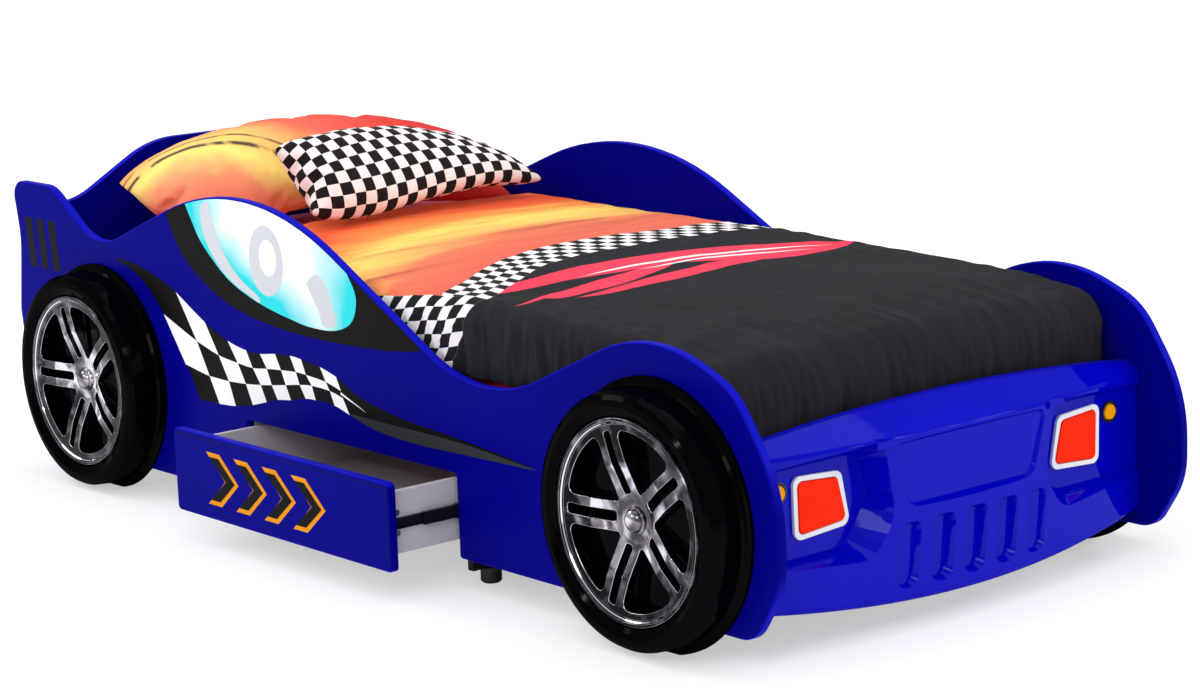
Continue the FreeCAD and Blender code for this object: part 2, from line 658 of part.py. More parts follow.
# ---------------------------------------------------------------- ball-bearing runners
def channel(label, web, flange_from, flange_to, half_height, start_y, way, origin_x):
    """A steel channel along Y: a web and two flanges, drawn in XZ from the partition outwards."""
    body = add_node("PartDesign::Body", label)
    sketch = sketch_on(body, f"{label}_section", "XZ_Plane", start_y)
    thick = size("runner_sheet")
    half = half_height
    outline = [(flange_from, half), (flange_to, half), (flange_to, half - thick), (web + thick, half - thick),
               (web + thick, -half + thick), (flange_to, -half + thick), (flange_to, -half),
               (flange_from, -half)]
    if flange_from < web:
        outline += [(flange_from, -half + thick), (web, -half + thick), (web, half - thick),
                    (flange_from, half - thick)]
    z = size("runner_z")
    draw(sketch, rounded_path([(origin_x + way * u, z + w, 0) for u, w in outline]))
    pad(body, sketch, "Sizes.drawer_length", f"{label}_rolled")
    return body


def runner(name, origin_x, way):
    thick, play = size("runner_sheet"), size("runner_play")
    half = size("runner_height") / 2
    space = size("runner_space")
    length = "Sizes.drawer_length"
    closed = "(Sizes.outer_width / 2 - Sizes.drawer_length)"
    channel(f"runner_cabinet_{name}", 0, 0, space - 3, half, closed, way, origin_x)
    channel(f"runner_middle_{name}", 4.4, 2, space - 1.9, half - thick - play,
            f"{closed} + Sizes.drawer_open / 2", way, origin_x)
    drawer_half = half - 2 * (thick + play)
    inner = add_node("PartDesign::Body", f"runner_drawer_{name}")
    sketch = sketch_on(inner, f"runner_drawer_{name}_section", "XZ_Plane", f"{closed} + Sizes.drawer_open")
    z = size("runner_z")
    outline = [(space, drawer_half), (7, drawer_half), (7, drawer_half - thick),
               (space - thick, drawer_half - thick), (space - thick, -drawer_half + thick),
               (7, -drawer_half + thick), (7, -drawer_half), (space, -drawer_half)]
    draw(sketch, rounded_path([(origin_x + way * u, z + w, 0) for u, w in outline]))
    pad(inner, sketch, length, f"runner_drawer_{name}_rolled")


runner("rear", size("bay_rear"), 1)
runner("front", size("bay_front"), -1)


# ---------------------------------------------------------------- soft parts
def cover_section(x, half, inner, foot, low, high, crown):
    """Closed wire across the bed: crowned top with rounded edges and a skirt down each side."""
    edge = 26
    shoulder = (half - edge * 0.29, high - edge * 0.29)
    edges = [Part.Arc(V(x, -half + edge, high), V(x, 0, high + crown), V(x, half - edge, high)).toShape()]
    for side in (1, -1):
        edges.append(Part.Arc(V(x, side * (half - edge), high), V(x, side * shoulder[0], shoulder[1]),
                              V(x, side * half, high - edge)).toShape())
    corners = [V(x, half, high - edge), V(x, half, foot), V(x, inner, foot), V(x, inner, low)]
    corners += [V(x, -p.y, p.z) for p in reversed(corners)]
    edges += [Part.LineSegment(p, q).toShape() for p, q in zip(corners, corners[1:])]
    return Part.Wire(Part.__sortEdges__(edges))


def mattress_block():
    obj = add_node("Part::Feature", "mattress")
    length, half = size("mattress_length"), size("mattress_width") / 2
    height = size("mattress_height")
    start = size("head_inner") + 6
    block = Part.makeBox(length, 2 * half, height, V(start, -half, size("slat_top")))
    uprights = [e for e in block.Edges if e.BoundBox.ZLength > height - 1]
    block = block.makeFillet(45, uprights)
    rims = [e for e in block.Edges if e.BoundBox.ZLength < 1]
    obj.Shape = block.makeChamfer(9, rims)
    return obj


def pillow_shape(length, depth, thick, droop):
    """Crowned pillow in its own frame: length along Y, upper edge at -X that droops to the ends."""
    stations = 7
    wires = []
    for i in range(stations):
        along = -1 + 2 * i / (stations - 1)
        upper_x = -depth / 2 + droop * abs(along) ** 2.5
        lower_x = depth / 2 - depth * 0.04 * (1 - along ** 2)
        rise = max(thick / 2 * max(1 - abs(along) ** 3, 0) ** 0.5, 12)
        y = along * length / 2
        middle = (upper_x + lower_x) / 2
        upper = Part.Arc(V(upper_x, y, 0), V(middle, y, rise), V(lower_x, y, 0)).toShape()
        lower = Part.Arc(V(lower_x, y, 0), V(middle, y, -rise), V(upper_x, y, 0)).toShape()
        wires.append(Part.Wire([upper, lower]))
    return Part.makeLoft(wires, True, True)


def settle(piece, way, carriers):
    """Moves a soft piece along a direction until it lies one soft gap from what carries it."""
    for _ in range(40):
        distance = min(piece.Shape.distToShape(carrier.Shape)[0] for carrier in carriers)
        if distance < size("soft_gap") + 0.03:
            return
        placement = piece.Placement
        placement.Base = placement.Base + way * (distance - size("soft_gap"))
        piece.Placement = placement


def soft_pillow(label, shape, centre, lean, turn):
    obj = add_node("Part::Feature", label)
    obj.Shape = shape
    spin = FreeCAD.Rotation(V(0, 0, 1), turn).multiply(FreeCAD.Rotation(V(0, 1, 0), lean))
    obj.Placement = FreeCAD.Placement(centre, spin)
    return obj


def duvet():
    """Duvet: a crowned top with side skirts that falls towards the foot, and a foot-end drop in folds."""
    obj = add_node("Part::Feature", "duvet")
    gap = size("soft_gap")
    low = size("slat_top") + size("mattress_height") + gap
    half, inner = size("duvet_width") / 2, size("mattress_width") / 2 + gap
    end = size("head_inner") + 6 + size("mattress_length") + gap
    reach = size("foot_inner") - gap
    head, stations = size("duvet_head"), 6
    skirt = low - size("duvet_skirt")
    wires = []
    for i in range(stations):
        along = 1 - (1 - i / (stations - 1)) ** 2
        x = head + (reach - 6 - head) * along
        top = low + size("duvet_thick") - size("duvet_fall") * max(0, 2 * along - 1) ** 1.5
        wires.append(cover_section(x, half, inner, skirt, low, top, size("duvet_crown")))
    cover = Part.makeLoft(wires, True, True)
    # the drop stands between the mattress and the foot board, waved between its upright folds
    folds = 12
    pitch = 2 * (half - 8) / folds
    foot = size("slat_top") + gap
    points = [V(reach - 4, -half + 8 + i * pitch, foot) for i in range(folds + 1)]
    edges = []
    for i, (start, stop) in enumerate(zip(points, points[1:])):
        middle = (start + stop) / 2 + V(4 if i % 2 else -9, 0, 0)
        edges.append(Part.Arc(start, middle, stop).toShape())
    back = [V(end, half - 8, foot), V(end, -half + 8, foot)]
    edges += [Part.LineSegment(points[-1], back[0]).toShape(), Part.LineSegment(*back).toShape(),
              Part.LineSegment(back[1], points[0]).toShape()]
    drop = Part.Face(Part.Wire(edges)).extrude(V(0, 0, low + 3 - foot))
    obj.Shape = cover.fuse(drop).removeSplitter()
    return obj


doc.recompute()
headboard = doc.getObject("headboard")
mattress = mattress_block()
duvet_cover = duvet()
bed_top = size("slat_top") + size("mattress_height")
back_pillow = soft_pillow(
    "pillow", pillow_shape(size("pillow_length"), size("pillow_depth"), size("pillow_thick"),
                           size("pillow_droop")),
    V(size("head_inner") + 230, size("pillow_side"), bed_top + 190), size("pillow_lean"), 0)
settle(back_pillow, V(0, 0, -1), [mattress])
settle(back_pillow, V(-1, 0, 0), [headboard])
front_cushion = soft_pillow(
    "cushion", pillow_shape(size("cushion_length"), size("cushion_depth"), size("cushion_thick"),
                            size("cushion_droop")),
    V(size("head_inner") + 400, size("cushion_side"), bed_top + 260), size("cushion_lean"),
    size("cushion_turn"))
settle(front_cushion, V(0, 0, -1), [duvet_cover, back_pillow])

# ---------------------------------------------------------------- checks and export
doc.recompute()
for obj in doc.Objects:
    assert "Invalid" not in obj.State and "Error" not in obj.State, f"{obj.Label}: {obj.State}"
for node in NODES:
    shape = node.Shape
    assert not shape.isNull() and shape.isValid(), f"{node.Label} has a bad shape"
    assert shape.Solids, f"{node.Label} has no solid"
for node in NODES:
    node.Shape.exportStep(f"parts/{node.Label}.step")
print(f"{len(NODES)} nodes written")
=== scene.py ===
"""Looks of the children's car bed: finishes, printed films, bedding, studio and camera.

Lengths are in metres: +X to the car's front (foot end), -Y the drawer side, +Z up, floor at z = 0.
Outlines of the printed films are (x, z) in millimetres, which MM turns into metres.
"""
import bmesh
import bpy
import json
import math
from collections import namedtuple
from mathutils import Matrix, Vector, noise


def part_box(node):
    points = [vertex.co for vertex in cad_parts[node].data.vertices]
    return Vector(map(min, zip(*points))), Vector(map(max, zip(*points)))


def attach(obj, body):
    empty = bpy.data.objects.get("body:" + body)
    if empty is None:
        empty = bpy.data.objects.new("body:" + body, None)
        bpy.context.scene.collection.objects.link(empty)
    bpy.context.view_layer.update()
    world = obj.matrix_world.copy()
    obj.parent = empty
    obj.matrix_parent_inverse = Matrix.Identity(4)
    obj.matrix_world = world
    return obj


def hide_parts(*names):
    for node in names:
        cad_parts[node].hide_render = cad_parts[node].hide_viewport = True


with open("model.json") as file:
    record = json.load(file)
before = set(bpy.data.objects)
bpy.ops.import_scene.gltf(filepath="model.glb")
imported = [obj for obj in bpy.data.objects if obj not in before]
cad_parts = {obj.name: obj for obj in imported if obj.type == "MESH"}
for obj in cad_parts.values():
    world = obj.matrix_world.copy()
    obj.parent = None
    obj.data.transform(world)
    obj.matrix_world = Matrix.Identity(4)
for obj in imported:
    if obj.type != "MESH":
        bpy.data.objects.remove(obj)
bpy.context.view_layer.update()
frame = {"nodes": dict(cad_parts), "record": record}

MM = 0.001
NODES = frame["nodes"]
scene = bpy.context.scene

# ---- sizes read from the frame
PANEL_FACE = -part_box("side_panel_right")[0].y
drawer_low, drawer_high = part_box("drawer_front")
mattress_low, mattress_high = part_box("mattress")
cover_low, cover_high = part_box("duvet")
REAR_WHEEL, FRONT_WHEEL = ((low + high) / 2 for low, high in (
    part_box("tyre_rear_right"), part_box("tyre_front_right")))


def colour(red, green, blue):
    """A display colour, 0 to 255, as the linear colour that the shaders take."""
    def linear(value):
        value /= 255
        return value / 12.92 if value <= 0.04045 else ((value + 0.055) / 1.055) ** 2.4
    return linear(red), linear(green), linear(blue), 1.0


# ---- node trees
class Signal:
    """A node's output that can be calculated with."""

    def __init__(self, graph, socket):
        self.graph, self.socket = graph, socket

    def __add__(self, other):
        return self.graph.math("ADD", self, other)

    def __sub__(self, other):
        return self.graph.math("SUBTRACT", self, other)

    def __rsub__(self, other):
        return self.graph.math("SUBTRACT", other, self)

    def __mul__(self, other):
        return self.graph.math("MULTIPLY", self, other)

    def __truediv__(self, other):
        return self.graph.math("DIVIDE", self, other)

    def __abs__(self):
        return self.graph.math("ABSOLUTE", self)


class Graph:
    """Short spelling for one material's nodes round a Principled shader."""

    def __init__(self, name, **settings):
        self.material = bpy.data.materials.new(name)
        self.material.use_nodes = True
        self.tree = self.material.node_tree
        self.shader = self.tree.nodes["Principled BSDF"]
        for socket, value in settings.items():
            self.put(self.shader.inputs[socket.replace("_", " ")], value)

    def put(self, socket, value):
        if isinstance(value, Signal):
            self.tree.links.new(value.socket, socket)
        elif isinstance(value, (int, float)) and socket.type in ("RGBA", "VECTOR"):
            socket.default_value = [value] * len(socket.default_value)
        else:
            socket.default_value = value

    def node(self, kind, inputs=(), **properties):
        made = self.tree.nodes.new("ShaderNode" + kind)
        for name, value in properties.items():
            setattr(made, name, value)
        for socket, value in zip(made.inputs, inputs):
            self.put(socket, value)
        return made

    def signal(self, kind, inputs=(), output=0, **properties):
        return Signal(self, self.node(kind, inputs, **properties).outputs[output])

    def math(self, operation, *values):
        return self.signal("Math", values, operation=operation)

    def greater(self, a, b):
        return self.math("MAXIMUM", a, b)

    def hypotenuse(self, a, b):
        return self.math("SQRT", a * a + b * b)

    def wave(self, value, period):
        return self.math("SINE", value * (2 * math.pi / period))

    def coords(self):
        return self.signal("TexCoord", output="Object")

    def normal(self):
        return self.signal("NewGeometry", output="Normal")

    def axes(self, vector):
        return [Signal(self, axis) for axis in self.node("SeparateXYZ", [vector]).outputs]

    def cloth(self):
        """Place on the flat cut of a sewn piece."""
        return self.signal("Attribute", output="Vector", attribute_name="cloth")

    def noise(self, scale, detail=2.0, distortion=0.0, at=None):
        made = self.node("TexNoise", [at or self.coords()])
        for name, value in (("Scale", scale), ("Detail", detail), ("Distortion", distortion)):
            made.inputs[name].default_value = value
        return Signal(self, made.outputs["Fac"])

    def stretched(self, vector, *scale):
        return self.signal("Mapping", [vector, (0, 0, 0), (0, 0, 0), scale])

    def cell(self, value, pitch):
        """Number of the square that a place falls in."""
        return self.math("FLOOR", value / pitch)

    def fit(self, value, low, high, new_low=0, new_high=1):
        """Maps a range of values on another and clamps it."""
        return self.signal("MapRange", [value, low, high, new_low, new_high])

    def within(self, value, low, high, soft=0.0005):
        """1 between two limits, 0 outside."""
        return self.fit(value, low - soft, low + soft) * self.fit(value, high - soft, high + soft, 1, 0)

    def mix(self, factor, first, second):
        made = self.node("Mix", data_type="RGBA")
        self.put(made.inputs["Factor"], factor)
        self.put(made.inputs[6], first)
        self.put(made.inputs[7], second)
        return Signal(self, made.outputs[2])

    def ramp(self, value, stops):
        """Colours at places from 0 to 1: each stop is (place, red, green, blue)."""
        made = self.node("ValToRGB", [value])
        elements = made.color_ramp.elements
        while len(elements) < len(stops):
            elements.new(0.5)
        for element, (place, *shade) in zip(elements, stops):
            element.position = place
            element.color = colour(*shade)
        return Signal(self, made.outputs[0])

    def curve(self, value, points):
        """A smooth function through points, both axes from 0 to 1."""
        made = self.node("FloatCurve", [1.0, value])
        line = made.mapping.curves[0].points
        while len(line) < len(points):
            line.new(0.5, 0.5)
        for point, place in zip(line, points):
            point.location = place
        made.mapping.update()
        return Signal(self, made.outputs[0])

    def bump(self, height, distance, eased=0.0):
        """Fine relief; eased is the radius at which sharp edges are rounded for the light."""
        made = self.node("Bump")
        made.inputs["Distance"].default_value = distance
        if eased:
            self.put(made.inputs["Normal"], self.eased_normal(eased))
        self.put(made.inputs["Height"], height)
        self.put(self.shader.inputs["Normal"], Signal(self, made.outputs[0]))

    def eased_normal(self, radius):
        """Normal of the surface with its sharp edges rounded off."""
        return self.signal("Bevel", [radius], samples=8)

    def edges(self, radius):
        """1 along sharp edges, 0 on open faces."""
        turn = self.signal("VectorMath", [self.eased_normal(radius), self.normal()], "Value",
                           operation="DOT_PRODUCT")
        faint, full = 0.985, 0.90
        return self.fit(turn, faint, full)

    def paint(self, shade):
        self.put(self.shader.inputs["Base Color"], shade)
        return self.material

    def rough(self, pattern, low, high, span=(0.3, 0.7)):
        """Roughness from low to high as the pattern goes over its span."""
        self.put(self.shader.inputs["Roughness"], self.fit(pattern, *span, low, high))


# ---- hard finishes
def speckled(graph, shade, change, scale):
    """The same colour with faint uneven patches."""
    darker = tuple(c * (1 - change) for c in shade[:3]) + (1,)
    return graph.mix(graph.noise(scale, 3), darker, shade)


def blue_board(name):
    """Lacquered board: deep blue faces, with a painted highlight that makes faces turning up or down, as on
    its eased edges, lighter.
    """
    graph = Graph(name, Specular_IOR_Level=0.015)
    # painted highlight: lighter blue where the surface faces up or down
    edge = graph.fit(abs(graph.axes(graph.normal())[2]), 0.12, 0.5)
    face = speckled(graph, colour(3, 3, 126), 0.12, 4)
    graph.rough(graph.noise(22, 3), 0.3, 0.4)
    graph.bump(graph.noise(700), 0.00003, 0.003)
    return graph.paint(graph.mix(edge, face, colour(14, 17, 172)))


def gloss_moulding(name, shade, rough, gloss, eased):
    """Glossy moulded plastic with a trace of orange peel; eased is its corners' radius for the light."""
    graph = Graph(name, Specular_IOR_Level=0.0, Coat_Weight=gloss, Coat_Roughness=0.04)
    orange_peel = 0.00003
    graph.rough(graph.noise(30, 3), rough * 0.8, rough * 1.2)
    graph.bump(graph.noise(160), orange_peel, eased)
    return graph.paint(speckled(graph, shade, 0.1, 5))


def wheel_radius(graph):
    """Distance from the nearest wheel's axis."""
    x, _, z = graph.axes(graph.coords())
    centre = graph.fit(x, 0, 0.001) * (FRONT_WHEEL.x - REAR_WHEEL.x) + REAR_WHEEL.x
    return graph.hypotenuse(x - centre, z - REAR_WHEEL.z)


def black_moulding(name):
    """Tyre moulding: gloss black with fine turned rings on its sidewall."""
    graph = Graph(name, Specular_IOR_Level=0.0, Coat_Weight=0.07, Coat_Roughness=0.07)
    radius = wheel_radius(graph)
    ring_pitch, sidewall = 0.0045, (0.188, 0.212)
    rings = graph.wave(radius, ring_pitch) * graph.within(radius, *sidewall, 0.002)
    graph.rough(graph.noise(14, 3), 0.2, 0.3)
    graph.bump(rings + graph.noise(500), 0.00008, 0.004)
    return graph.paint(speckled(graph, colour(2, 2, 3), 0.3, 9))


def bright_rim(name):
    """Plated rim and hub: dark plating with painted reflections, lighter towards the middle and darker on the
    outer ring, and painted highlights along its edges and lip.
    """
    graph = Graph(name, Metallic=1.0)
    radius = wheel_radius(graph)
    hub_edge, ring_edge, lip = (0.100, 0.104), (0.138, 0.146), (0.1700, 0.1718)
    # painted highlights: near white on the lip and along the sharp edges
    painted_highlights = graph.greater(graph.within(radius, *lip), graph.edges(0.0016))
    # painted reflections: lighter towards the hub, darker on the outer ring, in blotches from the noise
    middle = graph.fit(radius, *hub_edge, 0.14, -0.04)
    outer = graph.fit(radius, *ring_edge, 0, -0.10)
    chrome_and_painted_reflections = graph.ramp(graph.noise(15, 3, 1.2) + (middle + outer), [
        (0.36, 18, 17, 20), (0.50, 80, 76, 82), (0.60, 132, 127, 134), (0.72, 226, 222, 228)])
    graph.rough(graph.noise(40, 3), 0.06, 0.12)
    graph.bump(graph.noise(60), 0.00006, 0.0022)
    return graph.paint(graph.mix(painted_highlights, chrome_and_painted_reflections, colour(240, 240, 244)))


def lens(name, shade):
    """Coloured lens with faint ribs."""
    graph = Graph(name, Specular_IOR_Level=0.02, Coat_Weight=0.05, Coat_Roughness=0.04)
    rib_pitch = 0.007
    ribs = graph.wave(graph.axes(graph.coords())[1], rib_pitch)
    graph.rough(ribs, 0.14, 0.24, (-1, 1))
    graph.bump(ribs, 0.00006)
    return graph.paint(speckled(graph, shade, 0.12, 25))


def plain_plastic(name, shade, rough):
    """Moulded plastic, or felt where it is rough, with a fine grain."""
    graph = Graph(name)
    graph.rough(graph.noise(60, 3), rough - 0.06, rough + 0.06)
    graph.bump(graph.noise(420), 0.00006)
    return graph.paint(speckled(graph, shade, 0.15, 20))


def slat_wood(name):
    """Planed pine with grain along each slat."""
    graph = Graph(name, Specular_IOR_Level=0.3)
    grain = graph.noise(1, 5, 1.2, graph.stretched(graph.coords(), 60, 2.2, 60))
    graph.rough(grain, 0.5, 0.65)
    graph.bump(grain, 0.0002)
    return graph.paint(graph.ramp(grain, [(0.3, 196, 150, 98), (0.55, 224, 186, 134), (0.75, 233, 202, 154)]))


def white_board(name):
    """White melamine with a faint leather emboss, and painted shade: near black where its foot nears the
    floor.
    """
    graph = Graph(name, Specular_IOR_Level=0.2)
    # painted shade: the board turns near black below this height, where it lies in shade by the floor
    painted_shade_top = 0.052
    painted_floor_shade = graph.fit(graph.axes(graph.coords())[2], painted_shade_top, painted_shade_top + 0.001, 1, 0)
    emboss = graph.noise(300, 3)
    graph.rough(emboss, 0.42, 0.55)
    graph.bump(emboss, 0.00008)
    board = speckled(graph, colour(192, 187, 193), 0.05, 8)
    return graph.paint(graph.mix(painted_floor_shade, board, colour(16, 16, 18)))


def metal(name, shade, rough, metallic=1.0):
    """Metal brushed along one way."""
    graph = Graph(name, Metallic=metallic)
    brushed = graph.noise(1, 3, at=graph.stretched(graph.coords(), 300, 12, 300))
    graph.rough(brushed, rough - 0.05, rough + 0.08)
    graph.bump(brushed, 0.00004)
    return graph.paint(speckled(graph, shade, 0.15, 30))


def film_surface(name, gloss):
    """Slightly uneven printed ink with a fine grain."""
    graph = Graph(name, Specular_IOR_Level=gloss)
    graph.rough(graph.noise(40), 0.3, 0.4)
    graph.bump(graph.noise(800), 0.00002)
    return graph


def film(name, shade):
    graph = film_surface(name, 0.04)
    return graph.paint(speckled(graph, shade, 0.08, 14))


def glass_film(name):
    """Printed window: white that turns turquoise towards its ends and lower edge."""
    graph = film_surface(name, 0.15)
    x, _, z = graph.axes(graph.coords())
    wander = graph.noise(7) * 0.12
    fall, sill = -0.45, 0.43
    tint_low = graph.fit(x * fall + sill - z + wander, 0.05, 0.13)
    tint_rear = graph.fit(wander - x, 0.44, 0.53)
    tint_front = graph.fit(x + wander, -0.02, 0.09)
    tint = graph.greater(tint_low, graph.greater(tint_rear, tint_front))
    return graph.paint(graph.mix(tint, colour(233, 238, 240), colour(20, 208, 216)))


# ---- fabrics
def fabric(name):
    """Plain weave with larger creases; gives the graph and each point's place on the cut cloth."""
    graph = Graph(name, Sheen_Weight=0.03, Sheen_Roughness=0.4, Specular_IOR_Level=0.12)
    place = graph.cloth()
    two_threads = 0.0018
    x, y, _ = graph.axes(place)
    threads = graph.wave(x, two_threads) * graph.wave(y, two_threads)
    creases = graph.noise(16, 4, 0.6, graph.stretched(place, 1, 2.2, 1))
    graph.rough(threads, 0.74, 0.86, (-1, 1))
    graph.bump(threads * 0.05 + creases * 1.6, 0.003)
    return graph, place


def chequered_fabric(name):
    """Black and white squares, as cut."""
    graph, place = fabric(name)
    square = 0.0295
    x, y, _ = graph.axes(place)
    odd = graph.math("PINGPONG", graph.cell(y, square) + graph.cell(x, square), 1)
    return graph.paint(graph.mix(odd, colour(248, 238, 238), colour(30, 24, 26)))


def pillow_fabric(name):
    """Warm print with wide arcs: yellow in the middle, salmon outside, thin dark arcs."""
    graph, place = fabric(name)
    x, y, _ = graph.axes(place)
    centre_x, centre_y, flatness = 0.30, -0.62, 1.25
    radius = graph.hypotenuse(y - centre_y, (x - centre_x) * flatness)
    warm = graph.ramp(graph.fit(radius + graph.noise(6, 4, 0.4, place) * 0.16, 0.25, 1.25), [
        (0.0, 226, 60, 48), (0.16, 240, 110, 92), (0.30, 250, 150, 110), (0.38, 255, 226, 120),
        (0.47, 252, 190, 110), (0.56, 240, 104, 84), (0.75, 228, 66, 54), (1.0, 214, 44, 44)])
    arcs = graph.greater(graph.within(radius, 0.585, 0.60, 0.004), graph.within(radius, 0.625, 0.632, 0.003))
    broken = graph.fit(graph.noise(2, 3, at=graph.stretched(place, 3, 9, 1)), 0.38, 0.5)
    return graph.paint(graph.mix(arcs * broken, warm, colour(92, 72, 66)))


def mattress_fabric(name):
    """Pink fitted sheet with a red border along the top edge."""
    graph, _ = fabric(name)
    z = graph.axes(graph.coords())[2]
    border = graph.fit(z, mattress_high.z - 0.03, mattress_high.z - 0.022)
    return graph.paint(graph.mix(border, colour(196, 30, 50), colour(252, 118, 146)))


# brush strokes on the coverlet: start, stop, bend, offset, slope, width
RED_STROKES = [(-0.47, 0.47, -0.050, 0.375, 0.045, 0.058), (-0.44, 0.08, 0.040, 0.385, -0.055, 0.030),
               (-0.34, 0.30, 0.012, 0.455, -0.035, 0.026), (0.02, 0.46, 0.030, 0.405, 0.010, 0.040)]
WHITE_STROKES = [(-0.22, 0.40, -0.035, 0.385, 0.035, 0.010), (-0.10, 0.34, -0.020, 0.410, 0.030, 0.008)]


def stroke(graph, along, across, start, stop, bend, offset, slope, width):
    """Mask of one pointed, curved brush stroke on the cloth."""
    t = (along - (start + stop) / 2) / ((stop - start) / 2)
    taper = 1 - t * t
    off = abs(across - offset - (taper * bend + t * slope))
    return graph.fit(taper * width - off, 0, 0.002)


def all_strokes(graph, along, across, strokes):
    """Mask of several strokes together."""
    mask = stroke(graph, along, across, *strokes[0])
    for shape in strokes[1:]:
        mask = graph.greater(mask, stroke(graph, along, across, *shape))
    return mask


# where the coverlet's chequered band starts, as shares of its width and of BAND_REACH
BAND_EDGE = [(0.0, 0.85), (0.1125, 0.764), (0.194, 0.625), (0.292, 0.41), (0.385, 0.25), (0.4625, 0.19),
             (0.544, 0.172), (0.637, 0.18), (0.733, 0.194), (0.81, 0.208), (1.0, 0.33)]
BAND_REACH, BAND_START = 0.36, -0.03
BAND_ROWS, ROW_PITCH, COLUMN_PITCH, SIDE_PITCH = 4, 0.032, 0.026, 0.028
BORDER_END = 0.36


def duvet_fabric(name):
    """Coverlet print: warm head part, a wandering chequered band, dark foot part with red strokes."""
    graph, place = fabric(name)
    x, y, _ = graph.axes(place)
    from_edge = x - (graph.curve(graph.fit(y, -0.6, 0.6), BAND_EDGE) * BAND_REACH + BAND_START)
    top_count = graph.cell(from_edge, ROW_PITCH) + graph.cell(y, COLUMN_PITCH)
    # down the near side the squares run on as a border, slanted along the bed
    border_x, border_y, fall, lean = 0.088, -0.480, 0.155, 0.55
    hang = (x - border_x) * fall - (y - border_y)
    slant = x + hang * lean
    side_count = graph.cell(hang, COLUMN_PITCH) + graph.cell(slant - BORDER_END, SIDE_PITCH)
    on_side = graph.fit(hang, -0.0002, 0.0002)
    odd = graph.math("PINGPONG", top_count + on_side * (side_count - top_count), 1)
    chequers = graph.mix(odd, colour(240, 234, 236), colour(26, 25, 28))
    soft, band = 0.0005, BAND_ROWS * ROW_PITCH
    past_top = graph.fit(from_edge, band - soft, band + soft)
    past_side = graph.fit(slant, BORDER_END - soft, BORDER_END + soft)
    past_band = graph.mix(on_side, past_top, past_side)
    in_band = graph.greater(on_side, graph.fit(from_edge, -soft, soft))
    # warm part: long streaks across the bed, with smoke near the band
    streaks = graph.noise(1.6, 5, 0.5, graph.stretched(place, 9, 1.1, 1))
    warm = graph.ramp(graph.fit(from_edge * 1.6 + streaks * 0.42, -0.95, 0.25), [
        (0.0, 250, 120, 52), (0.22, 246, 84, 46), (0.40, 252, 150, 70), (0.52, 255, 214, 104),
        (0.64, 250, 176, 96), (0.74, 236, 120, 84), (1.0, 226, 98, 78)])
    smoke = graph.fit(graph.noise(1, 3, 0.6, graph.stretched(place, 14, 1.6, 1)), 0.56, 0.70, 0, 0.5)
    warm = graph.mix(smoke * graph.within(from_edge, -0.42, -0.12, 0.06), warm, colour(126, 62, 46))
    # dark part
    dark = graph.mix(graph.noise(5, 3, at=place), colour(21, 20, 24), colour(35, 33, 39))
    dark = graph.mix(all_strokes(graph, y, x, RED_STROKES), dark, colour(240, 56, 84))
    dark = graph.mix(all_strokes(graph, y, x, WHITE_STROKES), dark, colour(240, 236, 238))
    return graph.paint(graph.mix(past_band, graph.mix(in_band, warm, chequers), dark))


SLOT_MATERIALS = {name: finish(name, *details) for name, finish, *details in (
    ("blue_board", blue_board),
    ("blue_moulding", gloss_moulding, colour(3, 4, 178), 0.22, 0.24, 0.006),
    ("white_trim", gloss_moulding, colour(232, 232, 236), 0.25, 0.2, 0.002),
    ("red_orange_lens", lens, colour(255, 40, 2)),
    ("black_trim", plain_plastic, colour(16, 16, 18), 0.35),
    ("amber_lens", lens, colour(240, 160, 10)),
    ("black_moulding", black_moulding), ("bright_rim", bright_rim),
    ("slat_wood", slat_wood), ("white_board", white_board),
    ("foot_plastic", plain_plastic, colour(24, 24, 25), 0.5),
    ("glide_felt", plain_plastic, colour(70, 70, 72), 0.9),
    ("zinc_steel", metal, colour(196, 198, 202), 0.35),
    ("cam_metal", metal, colour(150, 145, 152), 0.4),
    ("runner_steel", metal, colour(22, 22, 24), 0.35, 0.3),
    ("mattress_fabric", mattress_fabric), ("duvet_fabric", duvet_fabric),
    ("pillow_fabric", pillow_fabric), ("chequered_fabric", chequered_fabric))}


def finish_nodes():
    """Gives each CAD node the finish of its slot."""
    for part in frame["record"]["subparts"]:
        node = NODES[part["node"]]
        node.data.materials.clear()
        node.data.materials.append(SLOT_MATERIALS[part["material_slot"]])


# ---- mesh helpers
def mesh_object(name, verts, faces, material, smooth=True, cloth=None):
    """New mesh in the scene; cloth holds each point's place on its flat cut, for the weave and the print."""
    mesh = bpy.data.meshes.new(name)
    mesh.from_pydata(verts, [], faces)
    mesh.validate()
    mesh.materials.append(material)
    mesh.polygons.foreach_set("use_smooth", [smooth] * len(mesh.polygons))
    if cloth:
        layer = mesh.attributes.new("cloth", "FLOAT_VECTOR", "POINT")
        layer.data.foreach_set("vector", [c for point in cloth for c in point])
    obj = bpy.data.objects.new(name, mesh)
    scene.collection.objects.link(obj)
    return obj


def spline(points, steps=6):
    """Points on a smooth curve through the given ones, ends included."""
    ends = [points[0]] + list(points) + [points[-1]]
    line = []
    for a, b, c, d in zip(ends, ends[1:], ends[2:], ends[3:]):
        for i in range(steps):
            t = i / steps
            line.append(tuple(0.5 * (2 * q + (r - p) * t + (2 * p - 5 * q + 4 * r - s) * t * t
                                     + (3 * q - p - 3 * r + s) * t ** 3)
                              for p, q, r, s in zip(a, b, c, d)))
    return line + [tuple(points[-1])]


# ---- wheels
# half outline of the hub's dome from its middle to its flange, as shares of its radius and height
DOME = [(0.10, 0.995), (0.26, 0.97), (0.48, 0.88), (0.66, 0.72), (0.78, 0.52), (0.84, 0.34), (0.86, 0.22),
        (0.95, 0.20), (1.0, 0.14), (1.0, 0.0)]


